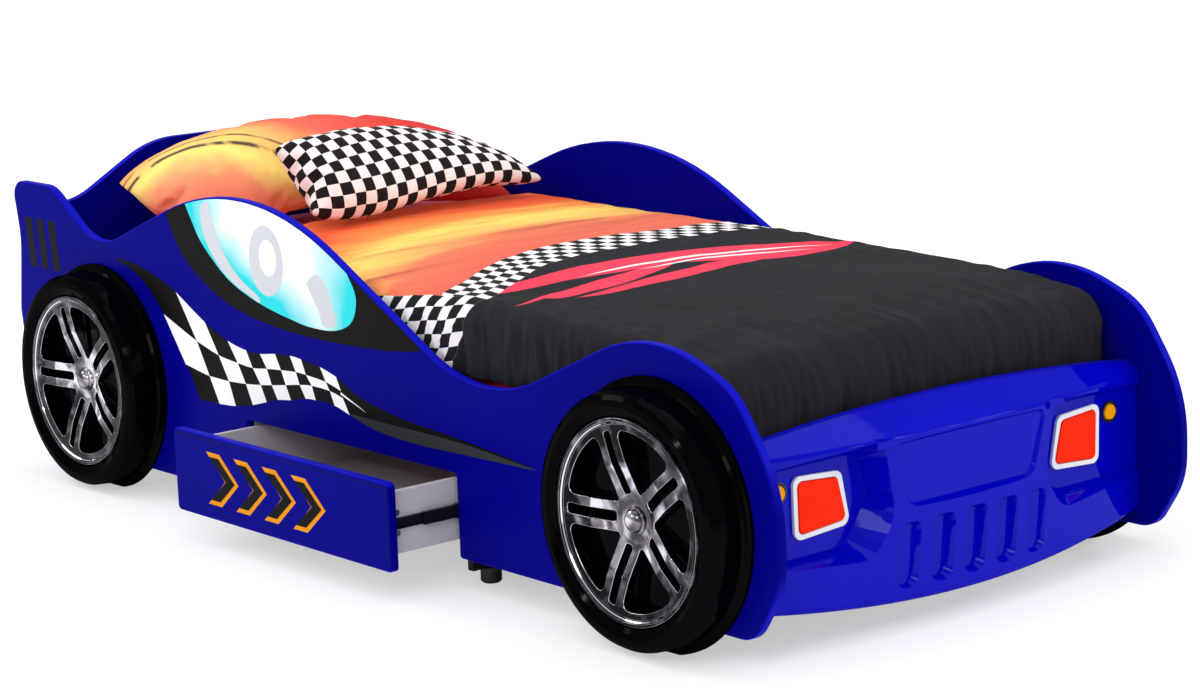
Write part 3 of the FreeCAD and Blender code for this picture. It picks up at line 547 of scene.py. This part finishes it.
def hub_dome(place):
    """Turned dome on a small flange, in the space of one hub cap."""
    cap_low, cap_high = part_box(f"hub_cap_{place}")
    radius, height = (cap_high.x - cap_low.x) / 2, cap_high.y - cap_low.y
    centre_x, centre_z = (cap_low.x + cap_high.x) / 2, (cap_low.z + cap_high.z) / 2
    base, out = (cap_low.y, 1) if place.endswith("left") else (cap_high.y, -1)
    segments = 48
    angles = [2 * math.pi * i / segments for i in range(segments)]
    rings = [[(centre_x + radius * share * math.cos(a), base + out * height * rise,
               centre_z + radius * share * math.sin(a)) for a in angles]
             for share, rise in spline(DOME, 3)]
    dome = ring_shell(f"hub_dome_{place}", rings, rings, SLOT_MATERIALS["bright_rim"])
    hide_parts(f"hub_cap_{place}")
    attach(dome, "bed")


# ---- printed films
FILMS = {name: film(f"film_{name}", colour(*shade)) for name, shade in (
    ("black", (12, 12, 13)), ("charcoal", (46, 48, 50)), ("white", (246, 247, 248)),
    ("grey", (205, 206, 212)), ("navy", (12, 13, 30)), ("orange", (226, 142, 12)))}
FILMS["glass"] = glass_film("glass_film")
FILM_STEP = 0.00025  # one layer of film above the next


class Print:
    """Flat areas of printed film on a face that looks along -Y or +Y, in layers."""

    def __init__(self, name, face_y):
        self.name = name
        self.face_y = face_y
        self.out = math.copysign(1, face_y)
        self.mesh = bmesh.new()
        self.films = []

    def area(self, outline, film_name, layer=0):
        """One outline of (x, z) points in millimetres."""
        if film_name not in self.films:
            self.films.append(film_name)
        y = self.face_y + self.out * FILM_STEP * (layer + 1)
        verts = [self.mesh.verts.new((x * MM, y, z * MM)) for x, z in outline]
        face = self.mesh.faces.new(verts)
        face.normal_update()
        if face.normal.y * self.out < 0:
            face.normal_flip()
        face.material_index = self.films.index(film_name)

    def done(self, body):
        """Puts the areas in the scene as one object that rides on a body."""
        bmesh.ops.triangulate(self.mesh, faces=self.mesh.faces[:], ngon_method="EAR_CLIP")
        mesh = bpy.data.meshes.new(self.name)
        self.mesh.to_mesh(mesh)
        for film_name in self.films:
            mesh.materials.append(FILMS[film_name])
        obj = bpy.data.objects.new(self.name, mesh)
        scene.collection.objects.link(obj)
        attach(obj, body)


def panel_top(x):
    """Height of the side panel's upper edge, in millimetres."""
    half_panel = 0.009
    start = Vector((x * MM, half_panel - PANEL_FACE, 1.0))
    hit, place, _, _ = NODES["side_panel_right"].ray_cast(start, Vector((0, 0, -1)))
    return place.z / MM if hit else 0


def top_line(start, stop, step=24):
    """The panel's upper edge from one x to another, let in by a little."""
    count = max(2, round(abs(stop - start) / step))
    margin = 3.5
    columns = [start + (stop - start) * i / count for i in range(count + 1)]
    return [(x, panel_top(x) - margin) for x in columns]


def window_print(graphic):
    """Printed side window: dark surround, tinted pane, and plain seat and wheel shapes behind it."""
    surround = spline([(-592, 609), (-546, 538), (-477, 487), (-373, 445), (-234, 421), (-66, 413),
                       (130, 418), (254, 431)])
    graphic.area(surround + top_line(250, -590), "black")
    pane = spline([(-516, 635), (-500, 610), (-468, 566), (-418, 525), (-368, 494), (-299, 469),
                   (-231, 453), (-164, 442), (-97, 434), (-14, 437), (43, 461), (60, 509), (35, 552)])
    graphic.area(pane + top_line(33, -513), "glass", 1)
    seats = [[(-462, 636), (-432, 646), (-418, 610), (-398, 568), (-364, 528), (-318, 496), (-272, 476),
              (-264, 462), (-300, 472), (-352, 490), (-404, 520), (-442, 560), (-458, 600), (-462, 636)],
             [(-102, 520), (-66, 540), (-36, 520), (-20, 486), (-6, 450), (-50, 441), (-64, 470),
              (-82, 492), (-102, 520)]]
    for seat in seats:
        graphic.area(spline(seat)[:-1], "grey", 2)
    wheel_ring(graphic, (-236, 548), (58, 70))


def wheel_ring(graphic, centre, radii):
    """A steering wheel's ring, drawn as two half rings; its hole lies a little to one side."""
    hole, shift, steps = 0.52, 6, 20

    def arc(angles, share, offset):
        return [(centre[0] + offset + radii[0] * share * math.cos(a),
                 centre[1] + offset + radii[1] * share * math.sin(a)) for a in angles]

    for start in (0, math.pi):
        angles = [start + math.pi * i / steps for i in range(steps + 1)]
        graphic.area(arc(angles, 1, 0) + arc(angles[::-1], hole, shift), "grey", 2)


# the flag's four lines across its columns, in millimetres
FLAG_TOP = [(-570, 448), (-468, 398), (-388, 370), (-324, 359), (-275, 358), (-222, 365), (-171, 368),
            (-133, 366), (-70, 359), (-18, 347)]
FLAG_UPPER = [(-621, 396), (-502, 355), (-424, 336), (-356, 329), (-303, 326), (-253, 331), (-204, 335),
              (-153, 338), (-119, 337), (-53, 332), (-4, 321)]
FLAG_LOWER = [(-549, 301), (-462, 288), (-392, 287), (-331, 290), (-278, 295), (-239, 300), (-190, 307),
              (-142, 314), (-101, 318), (-41, 316), (1, 308)]
FLAG_FOOT = [(-497, 233), (-431, 235), (-372, 239), (-310, 250), (-260, 263), (-221, 273), (-175, 279),
             (-124, 289), (-90, 291), (-27, 289), (21, 278)]


def flag_cells(graphic, over, under, first):
    """Every second cell between two of the flag's lines, in white."""
    steps = 6
    over_line, under_line = spline(over, steps), spline(under, steps)
    for column in range(first, len(over) - 1, 2):
        run = slice(column * steps, (column + 1) * steps + 1)
        graphic.area(over_line[run] + under_line[run][::-1], "white", 1)


def flag_print(graphic):
    """Waving chequered flag that runs out into a long point along the side."""
    head = [(-808, 495), (-741, 492), (-665, 479)]
    tail_top = [(57, 318), (182, 296), (305, 287), (423, 278), (585, 261)]
    tail_foot = [(116, 259), (241, 253), (362, 255), (480, 257), (585, 259)]
    rear_edge = [(-511, 242), (-529, 279), (-549, 301), (-585, 347), (-621, 396), (-670, 441), (-706, 464),
                 (-743, 479)]
    outline = spline(head + FLAG_TOP + tail_top) + spline(FLAG_FOOT + tail_foot)[::-1][1:] + rear_edge
    graphic.area(outline, "black")
    flag_cells(graphic, FLAG_TOP, FLAG_UPPER[1:], 0)
    flag_cells(graphic, FLAG_UPPER, FLAG_LOWER, 0)
    flag_cells(graphic, FLAG_LOWER[1:], FLAG_FOOT[1:], 0)
    graphic.area([(-5, 319), (-5, 314), (77, 290)], "white", 1)
    lower_tail = spline([(22, 281), (120, 279), (364, 276), (585, 260)])
    graphic.area(lower_tail + spline(FLAG_FOOT[-1:] + tail_foot)[::-1][1:], "charcoal", 1)


def fin_print(graphic):
    """Three slanted stripes on the tail fin."""
    foot, top, width, slant = 440, 548, 30, 12
    for start in (-1166, -1118, -1070):
        graphic.area([(start, top), (start + width, top), (start + slant + width, foot),
                      (start + slant, foot)], "navy")


def drawer_print(graphic):
    """Thin navy lines just inside the drawer front's top and front edges, and a row of chevrons, orange round
    black.
    """
    rear, front, foot, top = (v / MM for v in (drawer_low.x, drawer_high.x, drawer_low.z, drawer_high.z))
    inset, edge_line = 9, 1.6
    rear, front, foot, top = rear + inset, front - inset, foot + inset, top - inset
    # thin navy lines just inside the top and front edges
    graphic.area([(rear, top), (front, top), (front, top - edge_line), (rear, top - edge_line)], "navy")
    graphic.area([(front, top - edge_line), (front, foot), (front - edge_line, foot),
                  (front - edge_line, top - edge_line)], "navy")
    low, high, middle, width, depth, border = 92, 196, 144, 46, 62, 9
    for start in (-235, -139, -43, 53):
        point = start + depth
        for grow, film_name, layer in ((0, "orange", 0), (border, "black", 1)):
            graphic.area([(start + grow, high - grow), (start + width - grow * 0.4, high - grow),
                          (point + width - grow * 1.4, middle), (start + width - grow * 0.4, low + grow),
                          (start + grow, low + grow), (point + grow * 0.2, middle)], film_name, layer)


def prints():
    """All printed films: the same set on both side panels, and the drawer's."""
    for side, face_y in (("right", -PANEL_FACE), ("left", PANEL_FACE)):
        for part, drawing in (("window", window_print), ("flag", flag_print), ("fin", fin_print)):
            graphic = Print(f"{part}_print_{side}", face_y)
            drawing(graphic)
            graphic.done("bed")
    graphic = Print("drawer_print", drawer_low.y)
    drawer_print(graphic)
    graphic.done("drawer")


# ---- bedding
def rounded_plan(low, high, half, radii, turns, long_run, short_run):
    """Points (place, outward normal) round a plan outline, anticlockwise.

    radii are those of the head and foot corners; the counts are of steps in a corner, along a side and
    across an end.
    """
    head_radius, foot_radius = radii
    corners = [((high - foot_radius, -half + foot_radius), foot_radius, -90, short_run),
               ((high - foot_radius, half - foot_radius), foot_radius, 0, long_run),
               ((low + head_radius, half - head_radius), head_radius, 90, short_run),
               ((low + head_radius, -half + head_radius), head_radius, 180, long_run)]

    def station(centre, radius, degrees):
        angle = math.radians(degrees)
        normal = Vector((math.cos(angle), math.sin(angle)))
        return Vector(centre) + normal * radius, normal

    ring = []
    for index, (centre, radius, start, runs) in enumerate(corners):
        ring += [station(centre, radius, start + 90 * i / turns) for i in range(turns + 1)]
        place, normal = ring[-1]
        stop, _ = station(*corners[(index + 1) % 4][:3])
        ring += [(place.lerp(stop, i / runs), normal) for i in range(1, runs)]
    return ring


def ring_shell(name, rings, cloth, material):
    """Closed shell from rings of points with the same count; the first and last close on a point."""
    count = len(rings[0])
    verts = [point for ring in rings for point in ring]
    flat = [point for ring in cloth for point in ring]
    faces = []
    for row in range(len(rings) - 1):
        for i in range(count):
            j = (i + 1) % count
            faces.append((row * count + i, row * count + j, (row + 1) * count + j, (row + 1) * count + i))
    for ring, reverse in ((0, True), (len(rings) - 1, False)):
        middle = sum((Vector(v) for v in rings[ring]), Vector()) / count
        verts.append(tuple(middle))
        flat.append(tuple(sum((Vector(v) for v in cloth[ring]), Vector()) / count))
        for i in range(count):
            face = (ring * count + i, ring * count + (i + 1) % count, len(verts) - 1)
            faces.append(face[::-1] if reverse else face)
    piece = mesh_object(name, verts, faces, material, cloth=flat)
    outward = bmesh.new()
    outward.from_mesh(piece.data)
    bmesh.ops.recalc_face_normals(outward, faces=outward.faces[:])
    outward.to_mesh(piece.data)
    outward.free()
    return piece


def rough_noise(x, y, z, scale):
    """Smooth noise, from about -1 to 1."""
    return noise.noise(Vector((x * scale, y * scale, z * scale)))


def ridge(x, y, z):
    """Noise with sharp crests, from about -1 to 1."""
    return 1 - 4 * abs(noise.noise(Vector((x, y, z))))


def share_of(value, low, high):
    """How far a value lies between two limits, from 0 to 1."""
    return max(0.0, min(1.0, (value - low) / (high - low)))


def cover_height(x, y):
    """Height of the coverlet's top before its edges round off."""
    loft, long_fall, foot_fall, crown = 0.034, 0.024, 0.026, 0.012
    along = (x - cover_low.x) / (cover_high.x - cover_low.x)
    fall = long_fall * max(0, 2 * along - 1) ** 1.5 + foot_fall * share_of(x, 0.80, 1.05) ** 2
    rise = crown * (1 - min(1, abs(y) / cover_high.y) ** 2)
    dents = 0.004 * rough_noise(x, y, 1.3, 3.2) + 0.0022 * rough_noise(x, y, 4.1, 9)
    near_side = share_of(-y, 0.20, 0.42) * share_of(x, 0.28, 0.42)
    creases = 0.0040 * near_side * ridge(x * 9 + y * 5, y * 3.2, 0.7)
    foot_pull = 0.0030 * share_of(x, 0.78, 0.98) * ridge(x * 2.5, y * 17, 2.3)
    sides = max(share_of(abs(y), 0.34, 0.44), share_of(-x, 0.52, 0.62))
    fine = 0.0010 * (0.4 + sides) * ridge(x * 13, y * 13, 5.1)
    return mattress_high.z + loft - fall + rise + dents + creases + foot_pull + fine


def gather(s, depth, z):
    """Outward wave of the coverlet's skirt at s along its hem, stronger lower down."""
    wave = math.sin(s * 74 + 2.2 * math.sin(s * 9)) + 0.5 * math.sin(s * 131 + 1.7 * math.sin(s * 17))
    pleats = ridge(s * 42, z * 7, 1.9) + 0.5 * ridge(s * 70, z * 12, 8.2)
    return 0.0024 * wave * min(1, depth * 1.4) + 0.0034 * pleats * min(1, depth * 3) - 0.005 * depth


def bulge(place, s):
    return 0.005 * rough_noise(place.x, place.y, s * 0.1, 6)


def by_side(normal, at_side, at_foot, at_head):
    """A measure that changes round the coverlet's corners."""
    toward_foot, toward_head = max(0, normal.x) ** 2, max(0, -normal.x) ** 2
    return at_side + (at_foot - at_side) * toward_foot + (at_head - at_side) * toward_head


TOP_RINGS, SHOULDER_RINGS, SKIRT_RINGS = 60, 12, 22
GATHERED = 0.35  # share of the gathers that the shoulder already has


def coverlet():
    """Fitted coverlet: padded top, soft shoulder, elastic-gathered skirt that is deeper at the foot."""
    head, foot, half = cover_low.x, cover_high.x - 0.009, cover_high.y - 0.004
    counts = (10, 280, 160)
    plan = rounded_plan(head, foot, half, (0.03, 0.04), *counts)
    side_soft, foot_soft, head_soft = 0.044, 0.080, 0.034
    inner = rounded_plan(head + head_soft, foot - foot_soft, half - side_soft, (0.006, 0.006), *counts)
    inset = [place for place, _ in inner]
    side_hem, foot_hem, head_hem = 0.392, cover_low.z + 0.004, mattress_high.z + 0.004
    rings, cloth = [], []

    def add(ring, flat):
        rings.append([tuple(p) for p in ring])
        cloth.append([(x, y, 0) for x, y in flat])

    centre = Vector(((head + foot) / 2, 0))
    for i in range(1, TOP_RINGS + 1):
        flat = [centre + (place - centre) * i / TOP_RINGS for place in inset]
        add([(p.x, p.y, cover_height(p.x, p.y)) for p in flat], flat)

    # each station: its place on the plan, outward normal, place where the top ends, distance along the
    # hem, radius of the shoulder, height where the top ends
    stations, s = [], 0.0
    for (place, normal), base, (after, _) in zip(plan, inset, plan[1:] + plan[-1:]):
        soft = by_side(normal, side_soft, foot_soft, head_soft)
        stations.append((place, normal, base, s, soft, cover_height(base.x, base.y)))
        s += (after - place).length

    for i in range(1, SHOULDER_RINGS + 1):
        angle = math.pi / 2 * i / SHOULDER_RINGS
        ring, flat = [], []
        for place, normal, base, s, soft, top in stations:
            z = top - soft * (1 - math.cos(angle))
            wave = gather(s, GATHERED * i / SHOULDER_RINGS, z) + bulge(place, s) * math.sin(angle)
            p = base + (place - base) * math.sin(angle) + normal * wave
            ring.append((p.x, p.y, z))
            flat.append(base + normal * soft * angle)
        add(ring, flat)
    for i in range(1, SKIRT_RINGS + 1):
        share = i / SKIRT_RINGS
        ring, flat = [], []
        for place, normal, base, s, soft, top in stations:
            start = top - soft
            hem = min(by_side(normal, side_hem, foot_hem, head_hem), start - 0.001)
            z = start + (hem - start) * share
            depth = GATHERED + (1 - GATHERED) * min(1, (start - hem) / 0.06) * share
            p = place + normal * (bulge(place, s) * (1 - share) + gather(s, depth, z))
            ring.append((p.x, p.y, z))
            flat.append(base + normal * (soft * math.pi / 2 + start - z))
        add(ring, flat)
    # hem turned in, back of the skirt, underside on the mattress
    outer, hem_flat = rings[-1], [(x, y) for x, y, _ in cloth[-1]]
    hem_turns, lining = ((0.004, -0.001), (0.007, 0.003)), 0.012
    for inward, rise in hem_turns:
        add([(x - n.x * inward, y - n.y * inward, z + rise) for (x, y, z), (_, n) in zip(outer, plan)],
            hem_flat)
    add([(x - n.x * lining, y - n.y * lining, max(z + 0.003, top - soft - 0.006))
         for (x, y, z), (_, n, _, _, soft, top) in zip(outer, stations)], hem_flat)
    for share in (1.0, 0.97, 0.9, 0.5, 0.1):
        flat = [centre + (place - centre) * share for place in inset]
        add([(p.x, p.y, min(mattress_high.z + 0.0015, cover_height(p.x, p.y) - 0.010)) for p in flat], flat)
    piece = ring_shell("coverlet", rings, cloth, SLOT_MATERIALS["duvet_fabric"])
    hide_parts("duvet")
    settle_in(piece)


def settle_in(piece):
    """What every soft piece has: the bed as its body."""
    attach(piece, "bed")


def foot_slump(x):
    """How far the mattress's top gives way under the tucked coverlet at its foot."""
    return 0.022 * share_of(x, 0.80, 1.0) ** 2


# the mattress's side from its underside to its top, as (outward, up), with a cord near both rims
MATTRESS_SIDE = [(-0.030, 0.0), (-0.012, 0.003), (-0.004, 0.010), (0.0, 0.018), (-0.002, 0.021),
                 (0.0, 0.024), (0.0015, 0.06), (0.0015, 0.105), (0.0, 0.141), (-0.002, 0.144),
                 (0.0, 0.147), (-0.004, 0.155), (-0.012, 0.162), (-0.030, 0.165)]


def mattress_piece():
    """Foam mattress in a fitted sheet: flat top, rounded edges and a corded seam round both rims."""
    low, high = mattress_low, mattress_high
    corner, rounding, play = 0.045, 0.03, 0.0015
    thick = MATTRESS_SIDE[-1][1]
    plan = rounded_plan(low.x, high.x, high.y, (corner, corner), 5, 96, 42)
    centre = Vector(((low.x + high.x) / 2, 0))
    rings, cloth = [], []

    def flat_ring(share, height):
        flat = [centre + (p - n * rounding - centre) * share for p, n in plan]
        rings.append([(p.x, p.y, height(p.x)) for p in flat])
        cloth.append([(p.x, p.y, 0) for p in flat])

    for share in (0.05, 0.5, 0.9):
        flat_ring(share, lambda x: low.z)
    for out, up in MATTRESS_SIDE:
        flat = [p + n * (out - play) for p, n in plan]
        rings.append([(p.x, p.y, low.z + up + 0.0012 * rough_noise(p.x, p.y, up, 6)
                       - foot_slump(p.x) * up / thick) for p in flat])
        cloth.append([(p.x + n.x * up, p.y + n.y * up, 0) for p, (_, n) in zip(flat, plan)])
    for share in (0.985, 0.97, 0.95, 0.92, 0.88, 0.8, 0.6, 0.3, 0.1):
        flat_ring(share, lambda x: high.z - foot_slump(x))
    piece = ring_shell("fitted_mattress", rings, cloth, SLOT_MATERIALS["mattress_fabric"])
    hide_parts("mattress")
    settle_in(piece)


def sewn_blank(name, length, depth, material):
    """Two flat layers joined along their edge; the attribute cloth keeps each point's place on the cut."""
    step, half_gap = 0.014, 0.006
    columns, rows = round(length / step), round(depth / step)
    verts, index = [], {}
    for side in (1, -1):
        for i in range(columns + 1):
            for j in range(rows + 1):
                rim = i in (0, columns) or j in (0, rows)
                if rim and side < 0:
                    index[i, j, side] = index[i, j, 1]
                    continue
                index[i, j, side] = len(verts)
                lift = 0 if rim else side * half_gap
                verts.append((-depth / 2 + depth * j / rows, -length / 2 + length * i / columns, lift))
    faces = []
    for side in (1, -1):
        for i in range(columns):
            for j in range(rows):
                quad = [index[i, j, side], index[i + 1, j, side], index[i + 1, j + 1, side],
                        index[i, j + 1, side]]
                faces.append(quad[::-1] if side > 0 else quad)
    return mesh_object(name, verts, faces, material, cloth=verts)


def keep_result(piece):
    """Applies the modifiers to the piece's mesh."""
    graph = bpy.context.evaluated_depsgraph_get()
    mesh = bpy.data.meshes.new_from_object(piece.evaluated_get(graph))
    piece.modifiers.clear()
    piece.data = mesh


CLOTH_SETTINGS = {"quality": 6, "mass": 0.25, "tension_stiffness": 12, "compression_stiffness": 12,
                  "shear_stiffness": 6, "bending_stiffness": 0.3, "use_pressure": True}
CLOTH_FRAMES = 24


def swell(piece, pressure):
    """Inflates a sewn blank by cloth simulation and keeps the result."""
    cloth = piece.modifiers.new("Swell", "CLOTH")
    for setting, value in CLOTH_SETTINGS.items():
        setattr(cloth.settings, setting, value)
    cloth.settings.uniform_pressure_force = pressure
    cloth.settings.effector_weights.gravity = 0
    cloth.point_cache.frame_start, cloth.point_cache.frame_end = 1, CLOTH_FRAMES
    for step in range(1, CLOTH_FRAMES + 1):
        scene.frame_set(step)
    keep_result(piece)
    scene.frame_set(1)


def extent(points):
    """Low and high corners of the box round some points."""
    low = Vector([min(p[i] for p in points) for i in range(3)])
    high = Vector([max(p[i] for p in points) for i in range(3)])
    return low, high


# one end of a pillow: how far its upper corner slides down, how it leans in degrees, how full it is, how
# much its depth draws in, and how far it sinks
End = namedtuple("End", "droop lean fullness pinch sag")
SPARE = 1.07  # blank over finished size, since swelling draws it in


def stuffed(name, node, slot_name, cut, near, far, turn, middle_y, pressure):
    """A stuffed pillow swollen from its cut, shaped towards its two ends and laid where its solid lies.

    cut is (length, depth, thick); near and far are its ends.
    """
    length, depth, thick = cut
    piece = sewn_blank(name, length * SPARE, depth * SPARE, SLOT_MATERIALS[slot_name])
    swell(piece, pressure)
    piece.modifiers.new("Smooth", "SUBSURF").levels = 1
    keep_result(piece)
    low, high = extent([v.co for v in piece.data.vertices])
    size, middle = high - low, (low + high) / 2
    placed = []
    for vert in piece.data.vertices:
        p = vert.co - middle
        q = Vector((p.x * depth / size.x, p.y * length / size.y, p.z * thick / size.z))
        toward = 2 * q.y / length
        here = End(*(a + (b - a) * (toward + 1) / 2 for a, b in zip(near, far)))
        droop = near.droop if toward < 0 else far.droop
        q.x *= 1 - here.pinch * abs(toward) ** 3
        q.x += droop * abs(toward) ** 1.9 * share_of(0.5 - q.x / depth, 0, 1)
        q.z = q.z * here.fullness + 0.0016 * rough_noise(q.x, q.y, q.z, 14)
        q.z += 0.0022 * ridge(q.x * 7, q.y * 9, 3.3) * abs(toward)
        laid = (Matrix.Rotation(math.radians(turn), 3, "Z")
                @ Matrix.Rotation(math.radians(here.lean), 3, "Y") @ q)
        laid.z -= here.sag * toward ** 2
        placed.append(laid)
    low, high = extent(placed)
    box_low, box_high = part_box(node)
    shift = Vector(((box_low.x + box_high.x - low.x - high.x) / 2, middle_y - (low.y + high.y) / 2,
                    box_low.z - low.z))
    for vert, place in zip(piece.data.vertices, placed):
        vert.co = place + shift
    piece.data.polygons.foreach_set("use_smooth", [True] * len(piece.data.polygons))
    piece.data.update()
    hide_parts(node)
    settle_in(piece)


# ---- studio
# name, place, aim, size, watts
LIGHTS = [("overhead", (0.3, 0.2, 4.6), (0, 0, 0), (5.0, 4.0), 60),
          ("key", (3.6, -4.6, 3.4), (0.2, 0, 0.3), (2.6, 1.8), 75),
          ("rear_fill", (-3.4, -2.4, 3.0), (0, 0.4, 0.4), (2.4, 1.6), 45),
          ("front_strip", (3.7, 2.7, 2.3), (1.1, 0, 0.3), (2.0, 0.045), 40),
          ("side_strip", (-0.6, -4.8, 2.4), (0, -0.5, 0.3), (2.4, 0.045), 20)]
WORLD_SHADE = (0.86, 0.87, 0.88, 1)
GLOSSY_SHADE = (0.42, 0.43, 0.45, 1)
WHITE = (1, 1, 1, 1)


def area_light(name, place, aim, size, power):
    data = bpy.data.lights.new(name, "AREA")
    data.shape = "RECTANGLE"
    data.size, data.size_y = size
    data.energy = power
    obj = bpy.data.objects.new(name, data)
    obj.location = place
    obj.rotation_euler = (Vector(aim) - Vector(place)).to_track_quat("-Z", "Y").to_euler()
    scene.collection.objects.link(obj)


def studio_world():
    """Pale world, darker in reflections and white behind the object."""
    world = bpy.data.worlds.new("studio_world")
    world.use_nodes = True
    scene.world = world
    tree = world.node_tree
    path = tree.nodes.new("ShaderNodeLightPath")
    blends = []
    for ray, seen in (("Is Glossy Ray", GLOSSY_SHADE), ("Is Camera Ray", WHITE)):
        blend = tree.nodes.new("ShaderNodeMix")
        blend.data_type = "RGBA"
        tree.links.new(path.outputs[ray], blend.inputs["Factor"])
        blend.inputs[7].default_value = seen
        blends.append(blend)
    reflected, shown = blends
    reflected.inputs[6].default_value = WORLD_SHADE
    tree.links.new(reflected.outputs[2], shown.inputs[6])
    tree.links.new(shown.outputs[2], tree.nodes["Background"].inputs["Color"])


def studio():
    """Pale floor, soft lights and the world."""
    reach = 30
    floor = mesh_object("studio_floor", [(-reach, -reach, 0), (reach, -reach, 0), (reach, reach, 0),
                                         (-reach, reach, 0)], [(0, 1, 2, 3)], floor_finish(), smooth=False)
    for light in LIGHTS:
        area_light(*light)
    studio_world()


def floor_finish():
    """White floor that keeps soft shadows near the object and fades to plain white behind it."""
    graph = Graph("studio_floor", Specular_IOR_Level=0.0, Roughness=0.9, Emission_Color=WHITE)
    seen = graph.signal("LightPath", output="Is Camera Ray")
    away = graph.signal("VectorMath", [graph.coords()], "Value", operation="LENGTH")
    graph.put(graph.shader.inputs["Emission Strength"], graph.fit(away, 1.6, 4.0, 0.5, 0.72) * seen)
    lighting, shown = (0.93, 0.93, 0.93, 1), (0.52, 0.52, 0.52, 1)
    return graph.paint(graph.mix(seen, speckled(graph, lighting, 0.01, 1), shown))


CAMERA_PLACE = (4.7493, -3.8397, 1.5321)
CAMERA_HEADING, CAMERA_DROP, CAMERA_ROLL = 0.87464731, 0.19427327, -0.03490525  # radians
CAMERA_LENS = 92.80  # millimetres, on the usual sensor 36 mm wide


def camera():
    """The photograph's view: a long lens from the bed's front right."""
    level = math.cos(CAMERA_DROP)
    ahead = Vector((-math.sin(CAMERA_HEADING) * level, math.cos(CAMERA_HEADING) * level,
                    -math.sin(CAMERA_DROP)))
    right = Vector((math.cos(CAMERA_HEADING), math.sin(CAMERA_HEADING), 0))
    up = right.cross(ahead)
    turned_right = right * math.cos(CAMERA_ROLL) + up * math.sin(CAMERA_ROLL)
    turned_up = up * math.cos(CAMERA_ROLL) - right * math.sin(CAMERA_ROLL)
    data = bpy.data.cameras.new("photo_camera")
    data.lens = CAMERA_LENS
    obj = bpy.data.objects.new("photo_camera", data)
    turn = Matrix((turned_right, turned_up, -ahead)).transposed().to_4x4()
    obj.matrix_world = Matrix.Translation(CAMERA_PLACE) @ turn
    scene.collection.objects.link(obj)
    scene.camera = obj


# ---- the whole scene
finish_nodes()
for corner in ("rear_right", "rear_left", "front_right", "front_left"):
    hub_dome(corner)
prints()
mattress_piece()
coverlet()
stuffed("back_pillow", "pillow", "pillow_fabric", cut=(0.90, 0.41, 0.165),
        near=End(droop=0.16, lean=34, fullness=1.1, pinch=0, sag=0.022),
        far=End(droop=0.19, lean=34, fullness=0.95, pinch=0, sag=0), turn=0, middle_y=0.024, pressure=5)
stuffed("front_cushion", "cushion", "chequered_fabric", cut=(0.635, 0.26, 0.115),
        near=End(droop=0.0, lean=50, fullness=1.2, pinch=0.35, sag=0.0),
        far=End(droop=0.05, lean=12, fullness=0.75, pinch=0.1, sag=0.045), turn=8, middle_y=0.104, pressure=6)
studio()
camera()
scene.view_settings.view_transform = "Standard"
